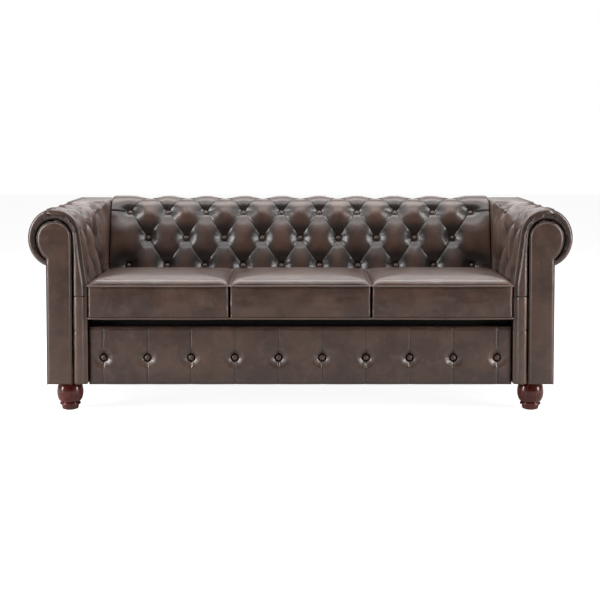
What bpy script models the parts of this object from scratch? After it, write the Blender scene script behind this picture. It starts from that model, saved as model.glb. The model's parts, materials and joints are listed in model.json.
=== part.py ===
"""Three-seat deep-buttoned leather sofa with scroll arms, built as a knock-down assembly.

Metres, +Z up, the sofa faces -Y, origin on the floor under the middle of its footprint.
"""

import math

import bmesh
import bpy
from mathutils import Matrix, Vector

# Overall size
SOFA_WIDTH = 2.04
SOFA_DEPTH = 0.82
SOFA_HEIGHT = 0.779
FOOT_HEIGHT = 0.105
JOINT_GAP = 0.0003

# Arms
ARM_HEIGHT = 0.767
ARM_ROLL_RADIUS = 0.098
ARM_ROLL_OVAL = 1.12
ARM_ROLL_PADDING = 0.0355
ARM_SIDE_INSET = 0.072
ARM_SEAM_HEIGHT = 0.438
ARM_WIDTH = 0.220
ARM_REAR_INSET = 0.010
SCROLL_PANEL_THICKNESS = 0.012
SCROLL_PANEL_ROUNDING = 0.004
SCROLL_BOARD_THICKNESS = 0.018
REAR_PANEL_THICKNESS = 0.018
OUTSIDE_PANEL_THICKNESS = 0.006
ROLL_TUBE_WALL = 0.006
ARM_BASE_RAIL_HEIGHT = 0.050
ARM_CORNER_ROUNDING = 0.022
ARM_FRONT_ROUNDING = 0.030
ARM_BLEND_LENGTH = 0.30
ARM_PAD_SETBACK = 0.003
ARM_RIM_WIDTH = 0.042
ARM_FRONT_SHARES = (0.0, 0.15, 0.45)

# Seat unit
SEAT_HEIGHT = 0.477
CUSHION_COUNT = 3
CUSHION_THICKNESS = 0.122
CUSHION_CROWN_FRONT = 0.027
CUSHION_CROWN_REAR = 0.017
CUSHION_FRONT_TURN = 0.040
CUSHION_SIDE_TURN = 0.045
CUSHION_REAR_TURN = 0.140
CUSHION_DRAW_IN = 0.005
CUSHION_GAP = 0.0015
CUSHION_FRONT_INSET = 0.004
CUSHION_CORNER = 0.008
CUSHION_CUTS = 7
RAIL_THICKNESS = 0.025
REAR_RAIL_THICKNESS = 0.060
RAIL_TOP = 0.308
RAIL_LIFT = 0.005
FRONT_RAIL_INSET = 0.065
CROSS_RAIL_DROP = 0.035
SPRING_WIRE_RADIUS = 0.002
TIE_WIRE_RADIUS = 0.0012
SPRING_WIDTH = 0.050
SPRINGS_PER_SEAT = 3
SPRING_BENDS = 12
SPRING_END_INSET = 0.0125
TIE_SHARES = (0.3, 0.7)
DUST_COVER_THICKNESS = 0.0015
BORDER_THICKNESS = 0.042
BORDER_TOP = 0.324
BORDER_BUTTONS = 10
BORDER_END_SPACE = 0.0575
BORDER_BUTTON_HEIGHT = 0.202
BORDER_ROUNDING = 0.020
BORDER_PLEAT = 0.006
BORDER_PIT = 0.006
BORDER_PIT_REACH = 0.035
BORDER_EDGE = 0.006
BORDER_ROUND_SHARE = 0.3

# Back unit
BACK_THICKNESS = 0.260
BACK_ROLL_RADIUS = 0.105
BACK_ROLL_PADDING = 0.0445
BACK_POST_COUNT = 3
BACK_POST_WIDTH = 0.040
BACK_POST_END_INSET = 0.060
BACK_RAIL_HEIGHT = 0.040
BACK_RAIL_DEPTH = 0.032
BACK_END_ROUNDING = 0.018
BACK_SIDE_GAP = 0.0006
OUTSIDE_BACK_THICKNESS = 0.006
OUTSIDE_BACK_REACH = 0.66

# Deep buttoning
TUFT_ROW = 0.118
TUFT_FIRST_ROW_HEIGHT = 0.498
TUFT_ROWS = 3
CREST_RELIEF = 0.35
CREST_FROM = 2.10
CREST_OVER = 0.75
BACK_TUFTS = 10
ARM_TUFTS = 3
ARM_FIRST_TUFT = 0.130
ARM_LAST_TUFT = 0.110
PLEAT_DEPTH = 0.014
PIT_DEPTH = 0.014
BUTTON_RADIUS = 0.009
BUTTON_CHAMFER = 0.15
BUTTON_DOME = ((0.0, 1.0), (0.6, 0.75), (1.0, 0.0))
BUTTON_SEAT = 2.2
BUTTON_RISE = 0.005
BUTTON_EDGE = 0.002
PAD_EDGE_FADE = 0.060
PIT_FALL_ACROSS = 0.25
PIT_FALL_UP = 0.5

# Feet and bolts
FOOT_RADIUS = 0.049
FOOT_SIDE_INSET = 0.144
FOOT_FRONT_INSET = 0.070
GLIDE_RADIUS = 0.020
GLIDE_THICKNESS = 0.003
BOLT_RADIUS = 0.004
BOLT_HEAD_RADIUS = 0.0075
BOLT_HEAD_HEIGHT = 0.005
BOLT_GRIP = 0.030
BOLT_INSET = 0.120
BOLT_HEIGHT = 0.132

# Outline of a foot, top to floor: shares of its radius and of its height
FOOT_TURNING = (
    (0.00, 1.00), (0.80, 1.00), (0.93, 0.90), (1.00, 0.70), (0.95, 0.50), (0.82, 0.36),
    (0.72, 0.31), (0.78, 0.27), (0.78, 0.17), (0.70, 0.11), (0.62, 0.08), (0.60, 0.00), (0.00, 0.00),
)

# Steps round the turned pieces
ROUND_STEPS = 24
HEAD_STEPS = 18
BOLT_STEPS = 12
GLIDE_STEPS = 16
BUTTON_STEPS = 12

# Facets to a pitch of the buttoning
BACK_PITCH_PARTS = 4
ARM_PITCH_PARTS = 6

SIDES = (("left", -1), ("right", 1))
SEAT_NAMES = ("left", "centre", "right")

# Places worked out from the sizes above
FRONT = -SOFA_DEPTH / 2
REAR = SOFA_DEPTH / 2
UNDERSIDE = FOOT_HEIGHT + JOINT_GAP
ARM_INNER = SOFA_WIDTH / 2 - ARM_WIDTH
SEAT_WIDTH = ARM_INNER * 2
ARM_OUTER = SOFA_WIDTH / 2 - ARM_SIDE_INSET
ARM_REAR = REAR - ARM_REAR_INSET
ROLL_X = SOFA_WIDTH / 2 - ARM_ROLL_RADIUS
ROLL_Z = ARM_HEIGHT - ARM_ROLL_RADIUS * ARM_ROLL_OVAL
CORE_RADIUS = ARM_ROLL_RADIUS - ARM_ROLL_PADDING
CORE_INNER = ROLL_X - CORE_RADIUS
CORE_OUTER = ARM_OUTER - OUTSIDE_PANEL_THICKNESS - JOINT_GAP
BOARD_FRONT = FRONT + SCROLL_PANEL_THICKNESS + JOINT_GAP
BOARD_REAR = BOARD_FRONT + SCROLL_BOARD_THICKNESS
REAR_PANEL_FRONT = ARM_REAR - REAR_PANEL_THICKNESS
BACK_FACE = REAR - BACK_THICKNESS
BACK_ROLL_Y = REAR - BACK_ROLL_RADIUS
BACK_ROLL_Z = SOFA_HEIGHT - BACK_ROLL_RADIUS
BACK_CORE_RADIUS = BACK_ROLL_RADIUS - BACK_ROLL_PADDING
BACK_CORE_FRONT = BACK_ROLL_Y - BACK_CORE_RADIUS
BACK_HALF = ARM_INNER - BACK_SIDE_GAP
SEAT_HALF = ARM_INNER - JOINT_GAP
RAIL_BOTTOM = UNDERSIDE + RAIL_LIFT
FRONT_RAIL_FRONT = FRONT + FRONT_RAIL_INSET
FRONT_RAIL_REAR = FRONT_RAIL_FRONT + RAIL_THICKNESS
OUTSIDE_BACK_FRONT = BACK_ROLL_Y + BACK_CORE_RADIUS * OUTSIDE_BACK_REACH
REAR_RAIL_REAR = OUTSIDE_BACK_FRONT - JOINT_GAP
REAR_RAIL_FRONT = REAR_RAIL_REAR - REAR_RAIL_THICKNESS
SPRING_Z = RAIL_TOP + JOINT_GAP + SPRING_WIRE_RADIUS
DECK_BOTTOM = SPRING_Z + SPRING_WIRE_RADIUS + JOINT_GAP
CUSHION_BOTTOM = SEAT_HEIGHT - CUSHION_THICKNESS
DECK_TOP = CUSHION_BOTTOM - JOINT_GAP
CUSHION_FRONT = FRONT + CUSHION_FRONT_INSET
CUSHION_REAR = BACK_FACE - JOINT_GAP * 4
CUSHION_WIDTH = (SEAT_WIDTH - CUSHION_GAP * (CUSHION_COUNT + 1)) / CUSHION_COUNT
FOOT_X = SOFA_WIDTH / 2 - FOOT_SIDE_INSET
FOOT_Y = SOFA_DEPTH / 2 - FOOT_FRONT_INSET
BACK_TUFT_PITCH = SEAT_WIDTH / BACK_TUFTS
ARM_TUFT_PITCH = (BACK_FACE - FRONT - ARM_FIRST_TUFT - ARM_LAST_TUFT) / (ARM_TUFTS - 1)
BORDER_BUTTON_PITCH = (SEAT_WIDTH - BORDER_END_SPACE * 2) / (BORDER_BUTTONS - 1)


def clear_scene():
    for old in list(bpy.data.objects):
        bpy.data.objects.remove(old)


def make_material(name, colour, roughness, metallic=0.0):
    material = bpy.data.materials.new(name)
    material.use_nodes = True
    shader = material.node_tree.nodes["Principled BSDF"]
    shader.inputs["Base Color"].default_value = (*colour, 1.0)
    shader.inputs["Roughness"].default_value = roughness
    shader.inputs["Metallic"].default_value = metallic
    return material


def make_materials():
    return {
        "leather": make_material("dark_brown_leather", (0.072, 0.050, 0.043), 0.38),
        "wood": make_material("pine_frame", (0.52, 0.36, 0.20), 0.70),
        "foot": make_material("mahogany_stain", (0.13, 0.026, 0.018), 0.28),
        "steel": make_material("spring_steel", (0.36, 0.36, 0.38), 0.38, 1.0),
        "felt": make_material("deck_felt", (0.05, 0.045, 0.042), 0.95),
        "cloth": make_material("black_dust_cloth", (0.012, 0.012, 0.013), 0.95),
        "nylon": make_material("black_nylon", (0.02, 0.02, 0.02), 0.5),
        "card": make_material("card_tube", (0.42, 0.30, 0.19), 0.85),
    }


def make_collection(name):
    collection = bpy.data.collections.new(name)
    bpy.context.scene.collection.children.link(collection)
    return collection


def make_unit(name, place=(0.0, 0.0, 0.0)):
    """An empty that carries the pieces of one knock-down unit."""
    unit = bpy.data.objects.new(name, None)
    unit.location = place
    PARTS.objects.link(unit)
    return unit


def add_object(name, data, material, unit):
    piece = bpy.data.objects.new(name, data)
    data.materials.append(MATERIALS[material])
    PARTS.objects.link(piece)
    piece.parent = unit
    return piece


def add_bmesh(name, bm, material, unit):
    mesh = bpy.data.meshes.new(name)
    bmesh.ops.recalc_face_normals(bm, faces=bm.faces)
    bm.to_mesh(mesh)
    bm.free()
    return add_object(name, mesh, material, unit)


def cut(piece, cutters):
    for cutter in cutters:
        boolean = piece.modifiers.new("cut", "BOOLEAN")
        boolean.operation = "DIFFERENCE"
        boolean.object = cutter


def box(name, low, high, material, unit):
    """A cuboid between two corners, placed by its centre."""
    low, high = Vector(low), Vector(high)
    bm = bmesh.new()
    bmesh.ops.create_cube(bm, size=1.0)
    bmesh.ops.scale(bm, vec=high - low, verts=bm.verts)
    piece = add_bmesh(name, bm, material, unit)
    piece.location = (low + high) / 2
    return piece


def arc(centre, radius, start, end, steps):
    """Points on an arc in the plane of two axes, angles in degrees."""
    turn = math.radians(end - start) / steps
    begin = math.radians(start)
    return [
        (
            centre[0] + radius * math.cos(begin + turn * i),
            centre[1] + radius * math.sin(begin + turn * i),
        )
        for i in range(steps + 1)
    ]


def standing_board(name, outline, y_front, thickness, material, unit, rounding=0.0):
    """A flat board cut to an XZ outline, standing square to Y."""
    curve = bpy.data.curves.new(name, "CURVE")
    curve.dimensions = "2D"
    curve.fill_mode = "BOTH"
    curve.extrude = thickness / 2 - rounding
    curve.bevel_depth = rounding
    curve.bevel_resolution = 1
    curve.offset = -rounding
    spline = curve.splines.new("POLY")
    spline.points.add(len(outline) - 1)
    for point, (x, z) in zip(spline.points, outline):
        point.co = (x, z, 0.0, 1.0)
    spline.use_cyclic_u = True
    piece = add_object(name, curve, material, unit)
    piece.location = (0.0, y_front + thickness / 2, 0.0)
    piece.rotation_euler = (math.radians(90), 0.0, 0.0)
    return piece


def turned(name, profile, place, material, unit, steps=20, axis="Z"):
    """A profile of (radius, along) points, from the top down its outer side, turned about an axis."""
    bm = bmesh.new()
    points = [bm.verts.new((radius, 0.0, along)) for radius, along in profile]
    for first, second in zip(points, points[1:]):
        bm.edges.new((first, second))
    mesh = bpy.data.meshes.new(name)
    bm.to_mesh(mesh)
    bm.free()
    piece = add_object(name, mesh, material, unit)
    screw = piece.modifiers.new("turned", "SCREW")
    screw.steps = screw.render_steps = steps
    screw.use_merge_vertices = True
    screw.merge_threshold = 0.0001
    piece.location = place
    if axis == "X":
        piece.rotation_euler = (0.0, math.radians(90), 0.0)
    if axis == "Y":
        piece.rotation_euler = (math.radians(-90), 0.0, 0.0)
    return piece


def smoothstep(value):
    value = min(max(value, 0.0), 1.0)
    return value * value * (3 - 2 * value)


def edge_drop(distance, radius):
    """How far a rounded edge falls below the surface at a distance from that edge."""
    if distance >= radius:
        return 0.0
    return radius - math.sqrt(radius**2 - (radius - max(distance, 0.0)) ** 2)


def tuft_drop(across, up, columns):
    """How far the leather lies below its crests, in a diamond lattice of pleats with a button at each node.

    across counts pitches from the first button of the even rows, up counts rows from the first row.
    Past the outer buttons the pleats run straight to the edge.
    Over the crest of the roll they are shallow.
    """
    p = min(max(across, 0.0), columns - 1.0)
    q = min(max(up, 0.0), float(TUFT_ROWS))
    a = math.pi * (p + q / 2)
    b = math.pi * (p - q / 2)
    puff = math.sqrt(abs(math.sin(a) * math.sin(b)))
    node = (math.cos(a) * math.cos(b)) ** 2
    past = math.hypot((across - p) / PIT_FALL_ACROSS, (up - q) / PIT_FALL_UP)
    relief = 1 - (1 - CREST_RELIEF) * smoothstep((up - CREST_FROM) / CREST_OVER)
    return (PLEAT_DEPTH * (1 - puff) + PIT_DEPTH * node**3 * math.exp(-past * past)) * relief


def tuft_node(across, up, columns):
    """True where a button sits; the pleats over the crest end without one."""
    inside = -0.01 < across < columns - 0.99 and -0.01 < up < TUFT_ROWS - 0.99
    a = across + up / 2
    b = across - up / 2
    return inside and abs(a - round(a)) < 0.01 and abs(b - round(b)) < 0.01


def steps_between(start, end, target):
    """Even stations from start to end, near the target spacing."""
    count = max(1, round(abs(end - start) / target))
    return [start + (end - start) * i / count for i in range(count + 1)]


def lattice_stations(start, first, spacing, count, parts, end):
    """Stations on the lattice: plain up to the first node, parts per spacing, then plain to the end."""
    last = first + spacing * count
    inner = [first + spacing * i / parts for i in range(count * parts + 1)]
    before = steps_between(start, first, spacing / 2)[:-1]
    after = steps_between(last, end, spacing / min(parts, 3))[1:]
    return before + inner + after


def slab(name, across, along, outer, inner, nodes, pleats, material, unit):
    """A pad between an outer and an inner surface, each a function of the two stations.

    nodes says which stations carry a button, and pleats which grid cells fold along a diagonal.
    """
    bm = bmesh.new()
    bmesh.ops.create_grid(bm, x_segments=len(across) - 1, y_segments=len(along) - 1, size=0.5)
    index = {}
    for vert in bm.verts:
        i = round((vert.co.x + 0.5) * (len(across) - 1))
        j = round((vert.co.y + 0.5) * (len(along) - 1))
        index[vert] = (i, j)
    grid = {place: vert for vert, place in index.items()}
    made = bmesh.ops.extrude_face_region(bm, geom=list(bm.faces), use_keep_orig=True)["geom"]
    backs = [item for item in made if isinstance(item, bmesh.types.BMVert)]
    for vert in backs:
        i = round((vert.co.x + 0.5) * (len(across) - 1))
        j = round((vert.co.y + 0.5) * (len(along) - 1))
        vert.co = inner(across[i], along[j])
    for vert, (i, j) in index.items():
        vert.co = outer(across[i], along[j])
    for (i, j), (k, m) in pleats:
        bmesh.ops.connect_vert_pair(bm, verts=[grid[i, j], grid[k, m]])
    bmesh.ops.recalc_face_normals(bm, faces=bm.faces)
    raise_buttons(bm, [grid[place] for place in nodes])
    back_faces = [face for face in bm.faces if all(vert in set(backs) for vert in face.verts)]
    flatten(bm, back_faces)
    return add_bmesh(name, bm, material, unit)


def raise_buttons(bm, verts):
    """Opens each node into a small face and raises it as a button head."""
    if not verts:
        return
    cut_open = bmesh.ops.bevel(
        bm, geom=verts, offset=BUTTON_RADIUS, offset_type="OFFSET", segments=1,
        profile=0.5, affect="VERTICES", material=-1, clamp_overlap=True,
    )
    bmesh.ops.inset_individual(
        bm, faces=cut_open["faces"], thickness=BUTTON_RADIUS * BUTTON_CHAMFER, depth=BUTTON_RISE
    )


def flatten(bm, faces):
    """Joins the level faces of a plain side."""
    edges = list({edge for face in faces for edge in face.edges})
    verts = list({vert for face in faces for vert in face.verts})
    bmesh.ops.dissolve_limit(bm, angle_limit=math.radians(0.5), verts=verts, edges=edges)


def fold_cells(across, along, column, row):
    """Cells of the grid whose diagonal lies on a pleat, as pairs of grid places."""
    folds = []
    for i in range(len(across) - 1):
        for j in range(len(along) - 1):
            for ends in (((i, j), (i + 1, j + 1)), ((i + 1, j), (i, j + 1))):
                if all(on_pleat(column(across[k]), row(along[m]), ends) for k, m in ends):
                    folds.append(ends)
    return folds


def on_pleat(p, q, ends):
    """True if a lattice place lies on the family of pleats that the cell's diagonal follows."""
    rising = ends[1][0] > ends[0][0]
    line = p - q / 2 if rising else p + q / 2
    return abs(line - round(line)) < 0.01


class RollProfile:
    """Side outline of a rolled pad: up a plain face, leaning back, then round a roll to its underside.

    Places are pairs of a level and a height, reached by the distance along the outline.
    An oval roll is worked out as a round one and then stretched upright by the oval.
    """

    def __init__(self, face, bottom, lean_height, centre, radius, end_level, oval=1.0):
        self.face = face
        self.bottom = bottom
        self.centre = centre
        self.radius = radius
        self.oval = oval
        run = centre[0] - face
        rise = (centre[1] - lean_height) / oval
        reach = math.hypot(run, rise)
        self.slope = math.atan2(rise, run) + math.asin(radius / reach)
        self.lean_at = (lean_height - bottom) / oval
        self.roll_at = self.lean_at + math.sqrt(reach**2 - radius**2)
        self.start = self.slope + math.pi / 2
        self.end_angle = -math.acos((end_level - centre[0]) / radius)
        self.top_at = self.roll_at + (self.start - math.pi / 2) * radius
        self.length = self.roll_at + (self.start - self.end_angle) * radius

    def angle(self, distance):
        return self.start - (distance - self.roll_at) / self.radius

    def place(self, distance):
        if distance <= self.lean_at:
            return (self.face, self.bottom + distance * self.oval)
        if distance <= self.roll_at:
            along = distance - self.lean_at
            height = self.lean_at + along * math.sin(self.slope)
            return (self.face + along * math.cos(self.slope), self.bottom + height * self.oval)
        turn = self.angle(distance)
        return (
            self.centre[0] + self.radius * math.cos(turn),
            self.centre[1] + self.radius * math.sin(turn) * self.oval,
        )

    def normal(self, distance):
        if distance <= self.lean_at:
            return (-1.0, 0.0)
        turn = self.start if distance <= self.roll_at else self.angle(distance)
        level, height = math.cos(turn), math.sin(turn) / self.oval
        size = math.hypot(level, height)
        return (level / size, height / size)

    def core_place(self, distance, core_radius, end_level, facet):
        """The place behind on the core: a plain face below, then a circle clear of the core."""
        if distance <= self.roll_at:
            share = distance / self.roll_at
            height = self.bottom + (self.centre[1] - self.bottom) * share
            return (self.centre[0] - core_radius, height)
        share = (distance - self.roll_at) / (self.length - self.roll_at)
        clear = core_radius / math.cos(facet)
        total = math.pi + math.acos((end_level - self.centre[0]) / clear)
        turn = math.pi - max(0.0, share * (total + facet) - facet)
        return (self.centre[0] + clear * math.cos(turn), self.centre[1] + clear * math.sin(turn))


def row_stations(profile, first_row, row_pitch, pitch_parts):
    """Stations up a rolled pad that fall on the button rows, half as many to a row as to a pitch."""
    return lattice_stations(0.0, first_row, row_pitch, TUFT_ROWS, pitch_parts // 2, profile.length)


def lattice_nodes(across, along, column, row, columns):
    return [
        (i, j)
        for i in range(len(across))
        for j in range(len(along))
        if tuft_node(column(across[i]), row(along[j]), columns)
    ]


def lattice_folds(across, along, column, row, columns):
    folds = []
    for ends in fold_cells(across, along, column, row):
        inside = all(
            -0.01 < column(across[i]) < columns - 0.99 and -0.01 < row(along[j]) < TUFT_ROWS + 0.01
            for i, j in ends
        )
        if inside:
            folds.append(ends)
    return folds


def largest_facet(profile, stations):
    """Half the widest turn between stations on the roll, so that the inside stays clear of the core."""
    on_roll = [profile.roll_at] + [place for place in stations if place > profile.roll_at]
    widest = max(second - first for first, second in zip(on_roll, on_roll[1:]))
    share = widest / (profile.length - profile.roll_at)
    total = math.pi - profile.end_angle
    return share * total / (2 - share)


def build_back():
    unit = make_unit("back_unit", (0.0, BACK_ROLL_Y, 0.0))
    unit_place = Vector(unit.location)
    end_level = OUTSIDE_BACK_FRONT + OUTSIDE_BACK_THICKNESS + JOINT_GAP
    profile = RollProfile(
        BACK_FACE, DECK_BOTTOM, SEAT_HEIGHT, (BACK_ROLL_Y, BACK_ROLL_Z), BACK_ROLL_RADIUS, end_level
    )
    first_column = -BACK_TUFT_PITCH * (BACK_TUFTS - 1) / 2
    first_row = TUFT_FIRST_ROW_HEIGHT - DECK_BOTTOM
    parts = BACK_PITCH_PARTS
    across = lattice_stations(-BACK_HALF, first_column, BACK_TUFT_PITCH, BACK_TUFTS - 1, parts, BACK_HALF)
    along = row_stations(profile, first_row, TUFT_ROW, parts)
    facet = largest_facet(profile, along)

    def column(x):
        return (x - first_column) / BACK_TUFT_PITCH

    def row(distance):
        return (distance - first_row) / TUFT_ROW

    def outer(x, distance):
        level, height = profile.place(distance)
        normal = profile.normal(distance)
        fade = smoothstep((profile.length - distance) / PAD_EDGE_FADE)
        fade *= smoothstep(distance / PAD_EDGE_FADE)
        drop = tuft_drop(column(x), row(distance), BACK_TUFTS) * fade
        drop = max(drop, edge_drop(BACK_HALF - abs(x), BACK_END_ROUNDING) * fade)
        return Vector((x, level - normal[0] * drop, height - normal[1] * drop)) - unit_place

    def inner(x, distance):
        level, height = profile.core_place(distance, BACK_CORE_RADIUS, end_level, facet)
        return Vector((x, level, height)) - unit_place

    nodes = lattice_nodes(across, along, column, row, BACK_TUFTS)
    folds = lattice_folds(across, along, column, row, BACK_TUFTS)
    slab("back_pad", across, along, outer, inner, nodes, folds, "leather", unit)
    tube_half = BACK_HALF - JOINT_GAP
    roll_tube("back_roll_tube", BACK_CORE_RADIUS, tube_half, (0.0, 0.0, BACK_ROLL_Z), "X", unit)
    rail_front = REAR_RAIL_REAR - BACK_RAIL_DEPTH - BACK_ROLL_Y
    rail_rear = REAR_RAIL_REAR - BACK_ROLL_Y
    rail_low = RAIL_TOP + JOINT_GAP
    rail_high = rail_low + BACK_RAIL_HEIGHT
    low = (-tube_half, rail_front, rail_low)
    box("back_bottom_rail", low, (tube_half, rail_rear, rail_high), "wood", unit)
    post_reach = BACK_HALF - BACK_POST_END_INSET
    for number in range(BACK_POST_COUNT):
        x = -post_reach + 2 * post_reach * number / (BACK_POST_COUNT - 1)
        low = (x - BACK_POST_WIDTH / 2, BACK_CORE_FRONT + JOINT_GAP - BACK_ROLL_Y, rail_high + JOINT_GAP)
        high = (x + BACK_POST_WIDTH / 2, rail_rear, BACK_ROLL_Z - BACK_CORE_RADIUS - JOINT_GAP)
        box(f"back_post_{number + 1}", low, high, "wood", unit)
    outside_front = OUTSIDE_BACK_FRONT - BACK_ROLL_Y
    outside_rear = outside_front + OUTSIDE_BACK_THICKNESS
    outside_top = BACK_ROLL_Z - math.sqrt(BACK_CORE_RADIUS**2 - outside_front**2) - JOINT_GAP
    low = (-BACK_HALF, outside_front, UNDERSIDE)
    box("outside_back_panel", low, (BACK_HALF, outside_rear, outside_top), "leather", unit)


def roll_tube(name, radius, half_length, place, axis, unit):
    outside = radius - JOINT_GAP
    inside = outside - ROLL_TUBE_WALL
    rim = [(outside, half_length), (outside, -half_length), (inside, -half_length), (inside, half_length)]
    tube = turned(name, rim + rim[:1], place, "card", unit, ROUND_STEPS, axis)
    weld = tube.modifiers.new("closed_rim", "WELD")
    weld.merge_threshold = 0.00005
    return tube


def keyhole(inner, outer, centre, radius, bottom):
    """Outline of a scroll board: a straight inner edge, a round head and a straight outer edge."""
    end = -math.degrees(math.acos((outer - centre[0]) / radius))
    head = arc(centre, radius, 180.0, end, HEAD_STEPS)
    return [(inner, bottom)] + head + [(outer, bottom)]


def build_arm(name, side):
    unit = make_unit(f"{name}_arm", (side * ROLL_X, 0.0, 0.0))
    arm_pad(name, side, unit)
    offset = Vector((side * ROLL_X, 0.0, 0.0))

    def arm_box(piece, low, high, material):
        first = Vector((side * low[0], low[1], low[2])) - offset
        second = Vector((side * high[0], high[1], high[2])) - offset
        ends = [(min(pair), max(pair)) for pair in zip(first, second)]
        return box(piece, [end[0] for end in ends], [end[1] for end in ends], material, unit)

    centre = (ROLL_X, ROLL_Z)
    core = keyhole(CORE_INNER + JOINT_GAP, CORE_OUTER, centre, CORE_RADIUS - JOINT_GAP, UNDERSIDE)
    face = keyhole(CORE_INNER + JOINT_GAP, ARM_OUTER, centre, CORE_RADIUS - JOINT_GAP, UNDERSIDE)
    core = [(side * (x - ROLL_X), z) for x, z in core]
    face = [(side * (x - ROLL_X), z) for x, z in face]
    standing_board(
        f"scroll_panel_{name}", face, FRONT, SCROLL_PANEL_THICKNESS, "leather", unit, SCROLL_PANEL_ROUNDING
    )
    standing_board(f"scroll_board_{name}", core, BOARD_FRONT, SCROLL_BOARD_THICKNESS, "wood", unit)
    standing_board(f"arm_rear_panel_{name}", core, REAR_PANEL_FRONT, REAR_PANEL_THICKNESS, "leather", unit)
    inside_front = BOARD_REAR + JOINT_GAP
    inside_rear = REAR_PANEL_FRONT - JOINT_GAP
    half = (inside_rear - inside_front) / 2
    middle = (inside_rear + inside_front) / 2
    roll_tube(f"arm_roll_tube_{name}", CORE_RADIUS, half, (0.0, middle, ROLL_Z), "Y", unit)
    base = arm_box(
        f"arm_base_rail_{name}",
        (CORE_INNER + JOINT_GAP, inside_front, UNDERSIDE),
        (CORE_OUTER, inside_rear, UNDERSIDE + ARM_BASE_RAIL_HEIGHT),
        "wood",
    )
    panel_inner = ARM_OUTER - OUTSIDE_PANEL_THICKNESS
    panel_top = ROLL_Z - math.sqrt(CORE_RADIUS**2 - (panel_inner - ROLL_X) ** 2) - JOINT_GAP
    arm_box(
        f"outside_arm_panel_{name}",
        (panel_inner, BOARD_FRONT, UNDERSIDE),
        (ARM_OUTER, ARM_REAR, panel_top),
        "leather",
    )
    lower = arm_box(
        f"arm_lower_panel_{name}",
        (ARM_INNER, FRONT + ARM_PAD_SETBACK, UNDERSIDE),
        (CORE_INNER, ARM_REAR, ARM_SEAM_HEIGHT - JOINT_GAP),
        "leather",
    )
    round_front_edge(lower.data, side)
    for number, y in enumerate((FRONT_RAIL_REAR + BOLT_INSET, REAR_RAIL_FRONT - BOLT_INSET), 1):
        cutter = bolt(f"arm_bolt_{name}_{number}", side, y, unit)
        for piece in (base, lower, bpy.data.objects[f"end_rail_{name}"]):
            cut(piece, [cutter])
    for place, y in (("front", -FOOT_Y), ("rear", FOOT_Y)):
        foot(f"{place}_{name}", side * FOOT_X, y)


def round_front_edge(mesh, side):
    """Rounds the upright edge at the front of an arm's inner side."""
    bm = bmesh.new()
    bm.from_mesh(mesh)
    front = min(vert.co.y for vert in bm.verts)
    inner = min(side * vert.co.x for vert in bm.verts)

    def at_corner(vert):
        return abs(vert.co.y - front) < JOINT_GAP and abs(side * vert.co.x - inner) < JOINT_GAP

    edges = [edge for edge in bm.edges if all(at_corner(vert) for vert in edge.verts)]
    bmesh.ops.bevel(
        bm, geom=edges, offset=ARM_FRONT_ROUNDING, offset_type="OFFSET", segments=5,
        profile=0.5, affect="EDGES", material=-1,
    )
    bm.to_mesh(mesh)
    bm.free()


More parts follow.
